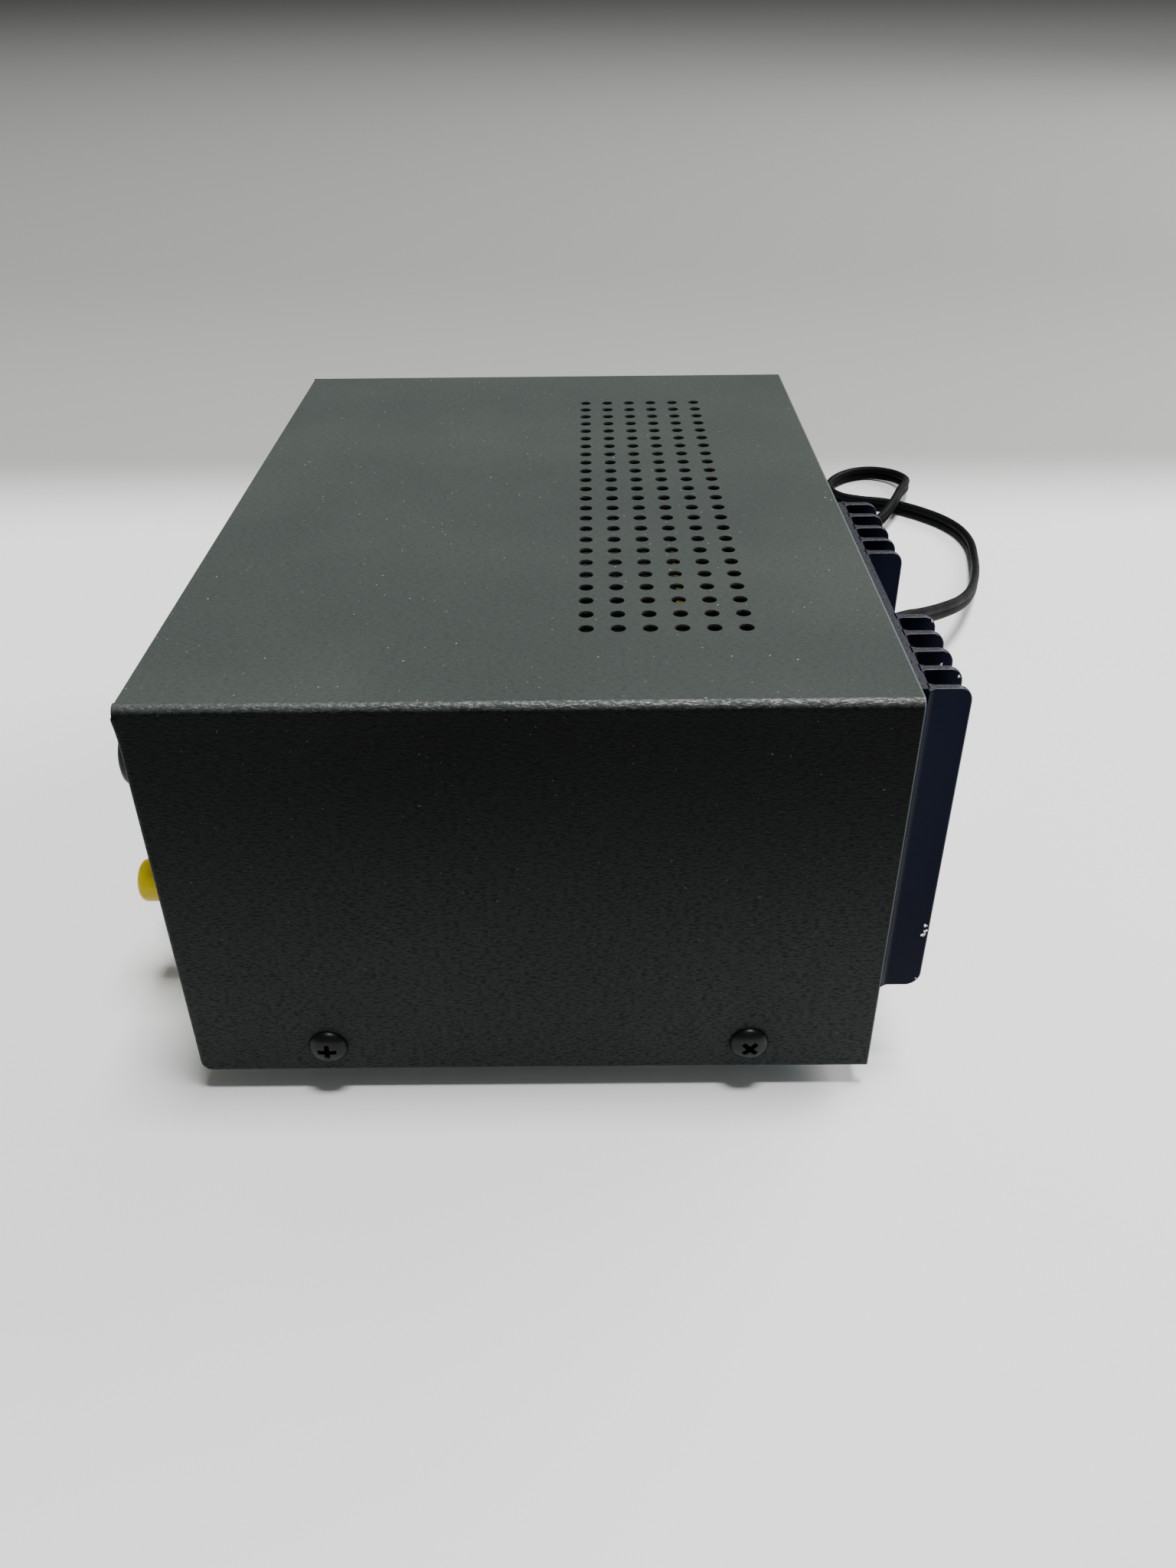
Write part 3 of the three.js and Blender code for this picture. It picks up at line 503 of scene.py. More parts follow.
# %% Route of the cord
ROUTE = [
    (-60, 98, 32), (-60, 104.5, 32), (-60.2, 110.5, 31.9), (-64, 116.5, 31), (-70.5, 122.5, 29),
    (-77.5, 128.5, 26.2), (-86, 135, 23), (-96, 142.5, 19.6), (-109, 151.5, 15.6),
    (-124, 159.5, 11.6), (-141, 166.5, 7.8), (-157, 171.7, 5.2), (-172, 175.5, 3.8),
    (-190, 178.7, 3.2), (-204, 178, 3.2), (-215, 174.1, 3.2), (-224, 167.9, 3.2),
    (-232, 159.9, 3.2), (-237.6, 151.1, 3.2), (-240.6, 141.1, 3.2), (-245.6, 132.9, 3.2),
    (-256, 129.5, 3.2), (-267, 133.7, 3.2), (-275.6, 142.5, 3.2), (-278.4, 152.9, 3.3),
    (-273, 162.1, 3.8), (-262, 165.9, 5), (-249, 163.3, 7.4), (-237, 158.1, 9.4),
    (-224, 152.5, 9.2), (-212, 144.9, 6.6), (-204, 134.9, 4.2), (-201.4, 122.5, 3.4),
    (-204, 108.5, 3.2), (-211, 94.5, 3.2), (-219, 80.5, 3.2), (-227, 64.5, 3.2),
    (-232.6, 49.5, 3.2), (-231.9, 33.5, 3.6),
]
COIL_MIDDLE = middle_of("cord_coil")[:2]
COIL_FLOOR = span("cord_coil")[0][2] + 3.1
COIL_START = 195
RADII = [38.4, 35.0, 31.6, 31.6, 35.0, 38.4]
TURNS = len(RADII)
CROSSOVER = 0.2


def eased(share):
    share = min(max(share, 0), 1)
    return share * share * (3 - 2 * share)


def coil_place(turn):
    """Round turns side by side, each stepping to the next radius in its last part."""
    whole = min(int(turn), TURNS - 1)
    step = eased((turn - whole - 1 + CROSSOVER) / CROSSOVER)
    following = RADII[min(whole + 1, TURNS - 1)]
    radius = RADII[whole] + (following - RADII[whole]) * step
    height = COIL_FLOOR + 6.2 * (step if whole == 2 else float(whole > 2))
    if whole == 2:
        radius -= 2.3 * math.sin(math.pi * step)
    angle = math.radians(COIL_START) + 2 * math.pi * turn
    return (
        COIL_MIDDLE[0] + radius * math.cos(angle),
        COIL_MIDDLE[1] + radius * math.sin(angle),
        height,
    )


print("coil middle", COIL_MIDDLE, "turns", TURNS)


# %% Smooth line of the cord
def smooth_line(points, parts=8):
    """A Catmull-Rom curve through the points."""
    p = np.array([points[0], *points, points[-1]], float)
    line = []
    for k in range(1, len(p) - 2):
        before, here, there, after = p[k - 1 : k + 3]
        for t in np.arange(parts) / parts:
            line.append(
                here
                + 0.5 * t * (there - before)
                + 0.5 * t**2 * (2 * before - 5 * here + 4 * there - after)
                + 0.5 * t**3 * (3 * here - before - 3 * there + after)
            )
    return np.array([*line, p[-2]])


def even_steps(line, step):
    """The same line with points a step apart."""
    gone = np.concatenate([[0], np.cumsum(np.linalg.norm(np.diff(line, axis=0), axis=1))])
    wanted = np.linspace(0, gone[-1], int(gone[-1] / step) + 1)
    return np.stack([np.interp(wanted, gone, line[:, k]) for k in range(3)], axis=1), gone[-1]


plug_low, plug_high = span("plug_body")
plug_x, _, plug_z = middle_of("plug_body")
plug_start = plug_high[1]
coil_turns = [coil_place(k / 30) for k in range(30 * TURNS + 1)]
into_plug = [
    (plug_x - 1.6, plug_start + 8.5, COIL_FLOOR + 5.6),
    (plug_x - 0.2, plug_start - 1, COIL_FLOOR + 3.6),
    (plug_x, plug_start - 9, COIL_FLOOR + 2.2),
]
cord_line, cord_length = even_steps(smooth_line([*ROUTE, *coil_turns, *into_plug], 6), 2.0)
print(f"cord: {cord_length:.0f} mm in {len(cord_line)} rings")


# %% Flat twin flex along the line
def flex_section(lobe=1.6, apart=1.4, web=0.95):
    """Two round cores side by side with a groove between them, as across and up."""
    upper = [math.radians(a) for a in range(-40, 221, 26)]
    lower = [a + math.pi for a in upper]
    section = [(lobe * math.cos(a), apart + lobe * math.sin(a)) for a in upper] + [(-web, 0)]
    section += [(lobe * math.cos(a), -apart + lobe * math.sin(a)) for a in lower] + [(web, 0)]
    return section


def flex_rings(line, section):
    ahead = np.gradient(line, axis=0)
    ahead /= np.linalg.norm(ahead, axis=1)[:, None]
    up = np.array([0, 0, 1.0]) - ahead * ahead[:, 2:3]
    up /= np.linalg.norm(up, axis=1)[:, None]
    across = np.cross(ahead, up)
    return [
        [tuple(line[k] + a * across[k] + b * up[k]) for a, b in section] for k in range(len(line))
    ]


cord = loft("mains_cord", flex_rings(cord_line, flex_section()), cord_pvc)
cord.data.shade_smooth()
cord.data.set_sharp_from_angle(angle=math.radians(50))
dress(cord, "case", "cord_pvc", "cord_run", "cord_coil")


# %% [markdown]
# ## Plug, tie and strain relief
# The plug is one moulding with two flat blades. Its body swells from the cord to a grip, so it is
# lofted from rounded outlines. The tie is a strap round the turns, and the strain relief is a
# cone with rings that let it bend.


# %% Plug
def plug_rings():
    """Rounded outlines from the tail to the face: place, half width, half height and corner."""
    face, tail = plug_low[1], plug_high[1]
    stations = [
        (tail, 2.6, 3.9, 1.6), (tail - 2, 3.0, 4.1, 2.0), (tail - 6, 4.2, 4.4, 2.4),
        (tail - 11, 7.4, 5.2, 2.6), (tail - 14.5, 9.0, 5.7, 2.6), (tail - 17, 9.8, 6.0, 2.6),
        (face + 10, 10.0, 6.0, 2.6), (face + 3, 9.9, 6.0, 2.6), (face + 0.8, 9.4, 5.7, 2.4),
        (face, 8.6, 4.9, 2.0),
    ]
    rings = []
    for y, half, tall, corner in stations:
        outline = rounded_outline(plug_x - half, plug_x + half, plug_z - tall, plug_z + tall, corner)
        rings.append([(a, y, b) for a, b in outline])
    return rings


def plug_blade(name, node):
    low, high = span(node)
    outline = rounded_outline(low[1], high[1] + 2, low[2], high[2], 1.6)
    blade = pushed(name, outline, "x", low[0], high[0], nickel)
    hole = (low[1] + 3.4, middle_of(node)[2])
    ends = [circle("x", hole, 1.6, x, 20) for x in (low[0] - 1, high[0] + 1)]
    carve(blade, loft("hole", ends))
    return dress(soften(blade, 0.2), "case", "nickel", node)


nickel = moulded("bright_nickel", "#c9cacb", "#b9bbbd", 0.2, size=0.6, depth=0.006, metallic=1.0)
plug = dress(soften(loft("plug", plug_rings(), relief_rubber), 0.3), "case", "cord_pvc", "plug_body")
blades = [plug_blade(f"blade_{side}", f"plug_blade_{side}") for side in ("left", "right")]


# %% Tie round the spare cord
def make_tie():
    low, high = span("cord_tie")
    outer = rounded_outline(low[1], high[1], low[2], high[2], 2.2)
    inner = rounded_outline(low[1] + 0.8, high[1] - 0.8, low[2] + 0.8, high[2] - 0.8, 1.5)
    strap = framed("strap", outer, inner, "x", low[0], high[0], relief_rubber)
    x0, x1 = low[0] - 0.8, high[0] + 0.8
    buckle = rounded_outline(x0, x1, low[2] + 3, low[2] + 9, 0.8)
    head = pushed("head", buckle, "y", high[1] - 1, high[1], relief_rubber)
    return soften(joined("tie_strap", [strap, head]), 0.2)


tie = dress(make_tie(), "case", "cord_pvc", "cord_tie")


# %% Strain relief
def make_relief():
    low, high = span("strain_relief")
    x, _, z = middle_of("strain_relief")
    neck, tip = 5.6, high[1]
    collar = tip - 26 + 2.5
    profile = [(neck, low[1]), (neck, collar - 2.2), (8.0, collar - 2.2), (8.0, collar)]
    start, rings = collar + 0.8, 6
    pitch = (tip - 2 - start) / rings
    for k in range(rings):
        y = start + k * pitch
        outer = 5.6 - (k + 0.3) * 1.5 / rings
        profile += [(outer - 0.9, y), (outer - 0.9, y + pitch * 0.35)]
        profile += [(outer, y + pitch * 0.45), (outer - 0.1, y + pitch * 0.95)]
    profile += [(3.9, tip - 1), (3.6, tip)]
    return turned("cord_relief", profile, "y", (x, z), relief_rubber, sides=40)


dress(soften(make_relief(), 0.2), "case", "cord_pvc", "strain_relief")

# %% [markdown]
# ## Finish: wrinkled paint on the case
# The case wears a charcoal powder coat that shrinks into fine wrinkles as it cures. They are half
# a millimetre across and drawn out along the sheet. Real displacement would cost millions of
# faces, so the wrinkles are bump. The roof is painted lighter, both for dust and as a painted
# sheen of the sky. The side is painted lighter towards the foot and darker under the bend, as
# painted bounce light and shade. The wrinkles' valleys carry painted shade, and the rear edge
# carries a painted highlight.


# %% Wrinkled paint
def make_wrinkle_paint():
    material, tree, shader, place = new_finish("wrinkle_paint")
    parts = add_node(tree, "ShaderNodeSeparateXYZ", {0: place}).outputs
    height = parts[2]
    ridges = grain(tree, place, 0.42, stretch=(1, 2.8, 1), detail=2.5, distortion=0.6)
    worn = grain(tree, place, 60, detail=4)
    speck = grain(tree, place, 0.9, detail=1)
    # Dust and painted sheen: the roof is painted lighter, for dust and for the sky's grazing
    # reflection.
    roof_dust_and_sheen = ramp(tree, height, 98.6 * MM, 99.95 * MM)
    # Painted bounce light and shade: the side is painted lighter towards the foot and darker under
    # the bend.
    tone = blend(tree, ramp(tree, height, 8 * MM, 96 * MM), "#303433", "#0c0e0d")
    tone = blend(tree, ramp(tree, worn, 0.3, 0.75, 0.0, 0.3), tone, "#1c1f1e")
    # Painted shade: the wrinkles' valleys are painted darker, as if lit from above, on the side and
    # on the roof.
    painted_valley_shade = ramp(tree, ridges, 0.34, 0.56, 1.0, 0.0)
    tone = blend(tree, sums(tree, "MULTIPLY", painted_valley_shade, 0.6), tone, "#020303")
    patchy = ramp(tree, worn, 0.3, 0.75, 0.8, 1.0)
    roof_dust_sheen_tone = blend(tree, sums(tree, "MULTIPLY", painted_valley_shade, 0.35), "#404542", "#2c302e")
    tone = blend(tree, sums(tree, "MULTIPLY", roof_dust_and_sheen, patchy), tone, roof_dust_sheen_tone)
    fleck = ramp(tree, speck, 0.76, 0.8)
    fleck = sums(tree, "MULTIPLY", fleck, ramp(tree, height, 98.6 * MM, 99.95 * MM, 0.1, 0.55))
    tone = blend(tree, fleck, tone, "#a3aaa6")
    # Painted highlight: a thin band along the rear edge is painted lighter, where its bevel would
    # catch the light; the lower edge is painted lighter too.
    aft = ramp(tree, parts[1], 78.85 * MM, 79.05 * MM)
    edge = sums(tree, "MAXIMUM", aft, ramp(tree, height, 6.12 * MM, 6.3 * MM, 0.6, 0.0))
    feed(tree, shader, base_color=blend(tree, sums(tree, "MULTIPLY", edge, 0.45), tone, "#7b817e"))
    feed(tree, shader, roughness=ramp(tree, ridges, 0.35, 0.7, 0.52, 0.34))
    under_roof = ramp(tree, height, 99.93 * MM, 99.995 * MM, 1.0, 0.0)
    bend = sums(tree, "MULTIPLY", ramp(tree, height, 98.3 * MM, 99.2 * MM), under_roof)
    gloss = sums(tree, "MULTIPLY", bend, ramp(tree, ridges, 0.4, 0.6, 0.35, 1.0))
    level = ramp(tree, gloss, 0.0, 1.0, 0.04, 0.5)
    tree.links.new(level, shader.inputs["Specular IOR Level"])
    swell = relief(tree, shader, grain(tree, place, 2.4, stretch=(1, 1.5, 1), detail=1), 0.1, 0.4)
    relief(tree, shader, ridges, 0.2, 1.0, under=swell)
    return material


cover_paint = make_wrinkle_paint()
print("finish:", cover_paint.name)

# %% [markdown]
# ## The cover
# The cover is one sheet of 1 mm steel, folded twice into a U, with its front edges folded in once
# more and the corners notched so that the folds can pass. It could be a box with its faces cut
# away, but a sheet is better made as a sheet: one outer face, then a wall grown inwards.

# %% Sizes of the cover
SHEET = 1.0
BEND = 2.0
FOLD = 1.3
LIP = 9.0
NOTCH = 2.2
FRONT_ROUND = 1.8
FLARE = 0.45
CUT_EDGE = 0.35
VENT_PITCH = 6.5
VENT_RADIUS = 1.6
VENT_ROWS = 24
VENT_COLUMNS = 6
right, front, rear = cover_high[0], cover_low[1], cover_high[1]
bottom, roof = cover_low[2], cover_high[2]
vent_half = VENT_ROWS * VENT_PITCH / 2
vent_back = rear - 29.6 + VENT_PITCH / 2
vent_front = vent_back - VENT_COLUMNS * VENT_PITCH
print("vents from y", vent_front, "to", vent_back, "and x to", vent_half)


# %% Lines across and along the sheet
def section_points():
    """The outer face of the U, from the right lower edge over the top to the left lower edge."""
    notch_z = roof - NOTCH
    foot = [bottom + d for d in (0, 0.15, 0.45, 0.9, 1.35, FRONT_ROUND)]
    shoulder = [notch_z - d for d in (6.5, 4.5, 3, 2, 1.4, 0.9, 0.55, 0.3, 0.12, 0)]
    side = [*foot, *np.linspace(bottom + 6, notch_z - 9, 13), *shoulder]
    bend = [math.radians(90 * k / 8) for k in range(9)]
    points = [(right, z) for z in side]
    points += [(right - BEND + BEND * math.cos(a), roof - BEND + BEND * math.sin(a)) for a in bend]
    vents = np.arange(vent_half, -0.01, -VENT_PITCH / 2)
    half = [right - NOTCH, *np.linspace(right - 9, vent_half + 5, 4), *vents]
    points += [(x, roof) for x in half]
    mirrored = [(-x, z) for x, z in reversed(points[:-1])]
    return points + mirrored


def length_lines():
    """Places from the front fold to the rear edge, with lines where the vents' cells meet."""
    fore = np.linspace(front + FOLD, vent_front, 15)
    middle = np.arange(vent_front, vent_back + 0.01, VENT_PITCH / 2)
    aft = np.linspace(vent_back, rear, 6)
    return [*fore, *middle[1:], *aft[1:]]


section = section_points()
lengths = length_lines()
print(len(section), "lines round the sheet,", len(lengths), "along it")


# %% Folded lips
def lip_rows():
    """Depth inwards and place along Y, from the lip's edge out to the fold's start."""
    arc = [math.radians(90 * k / 5) for k in range(5, 0, -1)]
    flat = [(LIP, front), (LIP * 0.6, front), (3.4, front), (2.2, front)]
    curve = [(FOLD - FOLD * math.cos(a), front + FOLD - FOLD * math.sin(a)) for a in arc]
    return flat + curve


def rounding(depth, radius):
    """How far a round corner lies back from its straight edge."""
    depth = min(max(depth, 0), radius)
    return radius - math.sqrt(radius**2 - depth**2)


def drawn_back(z):
    """How far the front fold lies back at a height: round at the foot, flared under the notch."""
    below = roof - NOTCH - z
    flare = FLARE * math.exp(-((below / 3.2) ** 2))
    return rounding(bottom + FRONT_ROUND - z, FRONT_ROUND) + rounding(0.9 - below, 0.9) - flare


def side_y(y, z):
    """Places along the side's front edge follow the fold, and settle 6 mm behind it.

    In the bend the sheet is not folded, so its cut edge comes forward almost to the front.
    """
    share = min(max((front + 6 - y) / 6, 0), 1)
    if z > roof - NOTCH + 1e-6:
        return y - (FOLD - CUT_EDGE) * eased(2 * share - 0.6)
    return y + drawn_back(z) * share


def sheet_y(x, y, z):
    flat = z >= roof - 1e-6 and abs(x) <= right - NOTCH + 1e-6
    return y if flat else side_y(y, z)


def mitred(place, depth, full, start):
    """Draws a line's end back to the 45 degree cut where two lips meet."""
    reach = min(full - NOTCH, full - depth - 0.25)
    share = (abs(place) - start) / (full - NOTCH - start)
    return place if share <= 0 else math.copysign(start + share * (reach - start), place)


def lip_point(x, z, depth, y):
    """A point of a lip that grows from one line of the section."""
    if z >= roof - 1e-6:
        return (mitred(x, depth, right, right - 20), y, z - depth)
    return (x - math.copysign(depth, x), side_y(y, z), mitred(z, depth, roof, roof - 25))


print(len(lip_rows()), "rows in a lip")


# %% One face of the sheet
def in_vents(a, b, y0, y1):
    flat = a[1] >= roof - 1e-6 and b[1] >= roof - 1e-6
    inside = max(abs(a[0]), abs(b[0])) <= vent_half + 1e-6
    return flat and inside and y0 >= vent_front - 1e-6 and y1 <= vent_back + 1e-6


def add_strip(points, faces, lines, keep):
    """Skins a grid of points, and leaves out the cells that `keep` refuses."""
    start, count = len(points), len(lines[0])
    for line in lines:
        points.extend(line)
    for i in range(len(lines) - 1):
        for j in range(count - 1):
            if keep(i, j):
                here, there = start + i * count + j, start + (i + 1) * count + j
                faces.append((here, here + 1, there + 1, there))


def outside_vents(i, j):
    return not in_vents(section[i], section[i + 1], lengths[j], lengths[j + 1])


def every_cell(_i, _j):
    return True


def sheet_face():
    points, faces = [], []
    grid = [[(x, sheet_y(x, y, z), z) for y in lengths] for x, z in section]
    add_strip(points, faces, grid, outside_vents)
    groups = [
        [p for p in section if p[0] > 0 and p[1] <= roof - NOTCH + 1e-6],
        [p for p in section if p[1] >= roof - 1e-6 and abs(p[0]) <= right - NOTCH + 1e-6],
        [p for p in section if p[0] < 0 and p[1] <= roof - NOTCH + 1e-6],
    ]
    for group in groups:
        edge = front + FOLD
        rows = [
            [lip_point(x, z, d, y) for d, y in lip_rows()] + [(x, sheet_y(x, edge, z), z)]
            for x, z in group
        ]
        add_strip(points, faces, rows, every_cell)
    return link_mesh("steel_cover", points, faces, cover_paint)


def perforated_cell():
    """One cell of the vents: a square with a round hole, split at each corner and middle."""
    half = VENT_PITCH / 2
    edge = [(1, 0), (1, 1), (0, 1), (-1, 1), (-1, 0), (-1, -1), (0, -1), (1, -1)]
    turns = [2 * math.pi * k / 24 for k in range(24)]
    points = [(a * half, b * half, 0) for a, b in edge]
    points += [(VENT_RADIUS * math.cos(t), VENT_RADIUS * math.sin(t), 0) for t in turns]
    faces = []
    for k in range(8):
        hole = [8 + (3 * k + m) % 24 for m in (3, 2, 1, 0)]
        faces.append((k, (k + 1) % 8, *hole))
    return link_mesh("vent_cell", points, faces)


print("sheet and cell ready to make")


# %% Rule that fills the vents
def make_vent_rule():
    """A grid of points, one cell on each, sewn to the plain sheet round it."""
    sizes = {"Pitch": 0.0065, "Rows": 24, "Columns": 6, "Near": 0.0, "Height": 0.1, "Cell": None}
    tree, given = new_rule("vent_grid", **sizes)
    across = sums(tree, "MULTIPLY", sums(tree, "SUBTRACT", given["Rows"], 1.0), given["Pitch"])
    along = sums(tree, "MULTIPLY", sums(tree, "SUBTRACT", given["Columns"], 1.0), given["Pitch"])
    sizes = {"Size X": across, "Size Y": along}
    counts = {"Vertices X": given["Rows"], "Vertices Y": given["Columns"]}
    grid = add_node(tree, "GeometryNodeMeshGrid", {**sizes, **counts}).outputs[0]
    centre = sums(tree, "ADD", given["Near"], sums(tree, "MULTIPLY", along, 0.5))
    middle = vector(tree, Y=centre, Z=given["Height"])
    moved = {"Geometry": grid, "Translation": middle}
    grid = add_node(tree, "GeometryNodeTransform", moved).outputs[0]
    cells = copies(tree, grid, shape_of(tree, given["Cell"]))
    real = add_node(tree, "GeometryNodeRealizeInstances", {"Geometry": cells}).outputs[0]
    sewn = gathered(tree, given["Geometry"], real)
    reach = {"Geometry": sewn, "Distance": 0.02 * MM}
    sewn = add_node(tree, "GeometryNodeMergeByDistance", reach).outputs[0]
    close_rule(tree, sewn, cover_paint)
    return tree


def make_cover():
    cell = perforated_cell()
    first = (vent_front + VENT_PITCH / 2) * MM
    cover = grow(
        sheet_face(), make_vent_rule(), Pitch=VENT_PITCH * MM, Rows=VENT_ROWS, Columns=VENT_COLUMNS,
        Near=first, Height=roof * MM, Cell=cell,
    )
    bpy.data.objects.remove(cell)
    wall = cover.modifiers.new("wall", "SOLIDIFY")
    wall.thickness = SHEET * MM
    wall.offset = -1
    wall.use_even_offset = True
    return soften(cover, 0.16, angle=48)


cover = dress(make_cover(), "case", "cover_paint", "cover")

# %% [markdown]
# ## Screws
# Four black pan head screws hold the cover, and smaller plated ones hold what is behind it. Each
# is the same shape, so one is modelled with its cross recess cut out, and a rule puts a copy at
# each place, with its own direction and size.


# %% One pan head screw
def cross_outline(arm, half):
    """Twelve corners of a cross."""
    quarter = [(arm, -half), (arm, half), (half, half)]
    corners = []
    for k in range(4):
        c, s = math.cos(math.pi / 2 * k), math.sin(math.pi / 2 * k)
        corners += [(a * c - b * s, a * s + b * c) for a, b in quarter]
    return corners


def pan_head_screw():
    """Head radius 4.3 and height 2.3, on an M4 shank with a few turns of thread."""
    thread = []
    for k in range(8):
        z = -7 + k * 0.8
        thread += [(1.6, z), (1.9, z + 0.35), (1.6, z + 0.7)]
    head = [(4.3, 0), (4.3, 0.35), (4.18, 0.8), (3.8, 1.3), (3.2, 1.75)]
    head += [(2.4, 2.08), (1.4, 2.26), (0.4, 2.3)]
    screw = turned("screw", [*thread, (1.6, -0.4), (1.9, 0), *head], "z", (0, 0), sides=40)
    recess = [(2.25, 0.62, 3.0), (2.05, 0.56, 2.1), (1.3, 0.42, 0.6), (0.5, 0.2, 0.1)]
    rings = [[(a, b, z) for a, b in cross_outline(arm, half)] for arm, half, z in recess]
    return soften(carve(screw, loft("recess", rings)), 0.12, angle=38)


def make_screw_rule(finish):
    tree, given = new_rule("screws", Screw=None)
    named = "GeometryNodeInputNamedAttribute"
    turn = add_node(tree, named, {"Name": "turn"}, data_type="FLOAT_VECTOR")
    size = add_node(tree, named, {"Name": "size"}, data_type="FLOAT")
    placed = copies(
        tree, given["Geometry"], shape_of(tree, given["Screw"]),
        Rotation=turn.outputs[0], Scale=size.outputs[0],
    )
    close_rule(tree, placed, finish)
    return tree


def set_screws(name, places, finish):
    """Screws at places given as a point, a direction, a turn of the recess and a size."""
    holder = link_mesh(name, [place for place, *_ in places], [])
    made = holder.data.attributes
    made.new("turn", "FLOAT_VECTOR", "POINT")
    made.new("size", "FLOAT", "POINT")
    for k, (_, aim, spin, size) in enumerate(places):
        around = Matrix.Rotation(math.radians(spin), 3, "Z")
        turn = Vector(aim).to_track_quat("Z", "Y").to_matrix() @ around
        made["turn"].data[k].vector = turn.to_euler()
        made["size"].data[k].value = size
    return grow(holder, make_screw_rule(finish), Screw=screw)


screw = pan_head_screw()
black_oxide = moulded(
    "black_oxide", "#08090a", "#0e0f11", 0.36, size=0.25, depth=0.015, patch=3, shine=0.2
)
print("screw:", len(screw.data.polygons), "faces")


# %% Cover screws
def cover_screw_places():
    places = []
    for end, turns in (("front", (38, -10)), ("rear", (-10, 38))):
        for side, spin in (("left", turns[0]), ("right", turns[1])):
            _, y, z = middle_of(f"cover_screw_{end}_{side}")
            sign = -1 if side == "left" else 1
            places.append(((sign * right, y, z), (sign, 0, 0), spin + 8, 1.0))
    return places


covered = [f"cover_screw_{end}_{side}" for end in ("front", "rear") for side in ("left", "right")]
cover_screws = set_screws("cover_screws", cover_screw_places(), black_oxide)
dress(cover_screws, "case", "black_screw", *covered)

# %% [markdown]
# ## Finish: black anodising
# Anodising dyes the skin of the aluminium, so the metal still shines through a dark blue-black.
# Where a corner has been knocked, bare metal shows. The knocks are kept as a short list of places,
# each a small ragged spot.

# %% Black anodised aluminium
sink_low, sink_high = span("heat_sink")
CHIPS = [
    (sink_high[0], sink_high[1] - 1.1, 40.6, 0.9),
    (sink_high[0], sink_high[1] - 0.8, 39.2, 0.7),
    (sink_high[0], sink_high[1] - 1.2, 38.1, 0.9),
    (sink_high[0] - 14.9, sink_high[1] - 2.4, sink_high[2] - 3.2, 0.9),
    (sink_high[0] - 7.5, sink_high[1] - 1.0, sink_high[2] - 1.6, 0.6),
    (sink_high[0] - 29.8, sink_high[1] - 0.9, sink_high[2] - 0.9, 0.7),
    (sink_low[0] + 7.5, sink_high[1] - 0.9, sink_high[2] - 1.0, 0.8),
    (sink_high[0], sink_high[1] - 0.8, sink_low[2] + 2.0, 0.6),
]


def make_anodising():
    material, tree, shader, place = new_finish("black_anodising")
    ragged = grain(tree, place, 0.5, stretch=(1, 0.7, 1.6), detail=4)
    worn = 0.0
    for x, y, z, reach in CHIPS:
        point = (x * MM, y * MM, z * MM)
        far = add_node(tree, "ShaderNodeVectorMath", {0: place, 1: point}, operation="DISTANCE")
        near = ramp(tree, far.outputs["Value"], 0.0, reach * MM * 1.5, 0.62, 0.0)
        worn = sums(tree, "MAXIMUM", near, worn)
    bare = ramp(tree, sums(tree, "ADD", worn, ragged), 0.98, 1.04)
    cloudy = ramp(tree, grain(tree, place, 22, stretch=(1, 1, 3)), 0.3, 0.7)
    dye = blend(tree, cloudy, "#0c0e19", "#11131f")
    height = add_node(tree, "ShaderNodeSeparateXYZ", {0: place}).outputs[2]
    # Painted light: the fins' upward ends are painted lighter and not metallic, standing in for light
    # from above on them.
    painted_top_light = ramp(tree, height, (sink_high[2] - 0.2) * MM, (sink_high[2] - 0.02) * MM)
    top_light_grain = ramp(tree, grain(tree, place, 0.7, detail=2), 0.3, 0.6, 0.55, 1.0)
    painted_top_light = sums(tree, "MULTIPLY", painted_top_light, top_light_grain)
    dye = blend(tree, painted_top_light, dye, "#24242d")
    feed(tree, shader, base_color=blend(tree, bare, dye, "#d6d8da"))
    lines = grain(tree, place, 0.3, stretch=(1, 1, 60), detail=2)
    feed(tree, shader, roughness=ramp(tree, lines, 0.2, 0.8, 0.34, 0.48))
    relief(tree, shader, lines, 0.01, 0.6)
    feed(tree, shader, metallic=sums(tree, "SUBTRACT", 1.0, painted_top_light))
    return material


anodised = make_anodising()
print("finish:", anodised.name, "with", len(CHIPS), "knocks")

# %% [markdown]
# ## The heat sink
# The heat sink is an extrusion: a base with two groups of five fins and a bare middle for the
# transistor. Its fins flare at the root, as a die needs, and its outer corners are rounded. One
# fin is lofted, and a rule stands copies of it on the base in two rows.

# %% One fin and the rule for the rows
FIN_PITCH = 7.45
FIN_HALF = 0.8
FIN_COUNT = 5
CORNER = 3.0
sink_face = sink_low[1] + 3.0


def make_fin():
    """A fin round x = 0, lofted from its lower end to its upper end."""
    rise = [CORNER * (1 - math.cos(math.radians(a))) for a in range(0, 91, 15)]
    heights = [sink_low[2] + d for d in rise] + [sink_high[2] - d for d in reversed(rise)]
    rings = []
    for z in heights:
        depth = max(CORNER - (z - sink_low[2]), CORNER - (sink_high[2] - z), 0)
        tip = sink_high[1] - CORNER + math.sqrt(CORNER**2 - depth**2)
        half = [(1.7, sink_face - 0.4), (1.25, sink_face + 0.25), (FIN_HALF, sink_face + 1.1)]
        half += [(FIN_HALF, tip - 0.35), (FIN_HALF - 0.35, tip)]
        rings.append([(x, y, z) for x, y in half] + [(-x, y, z) for x, y in reversed(half)])
    return loft("fin", rings, anodised)


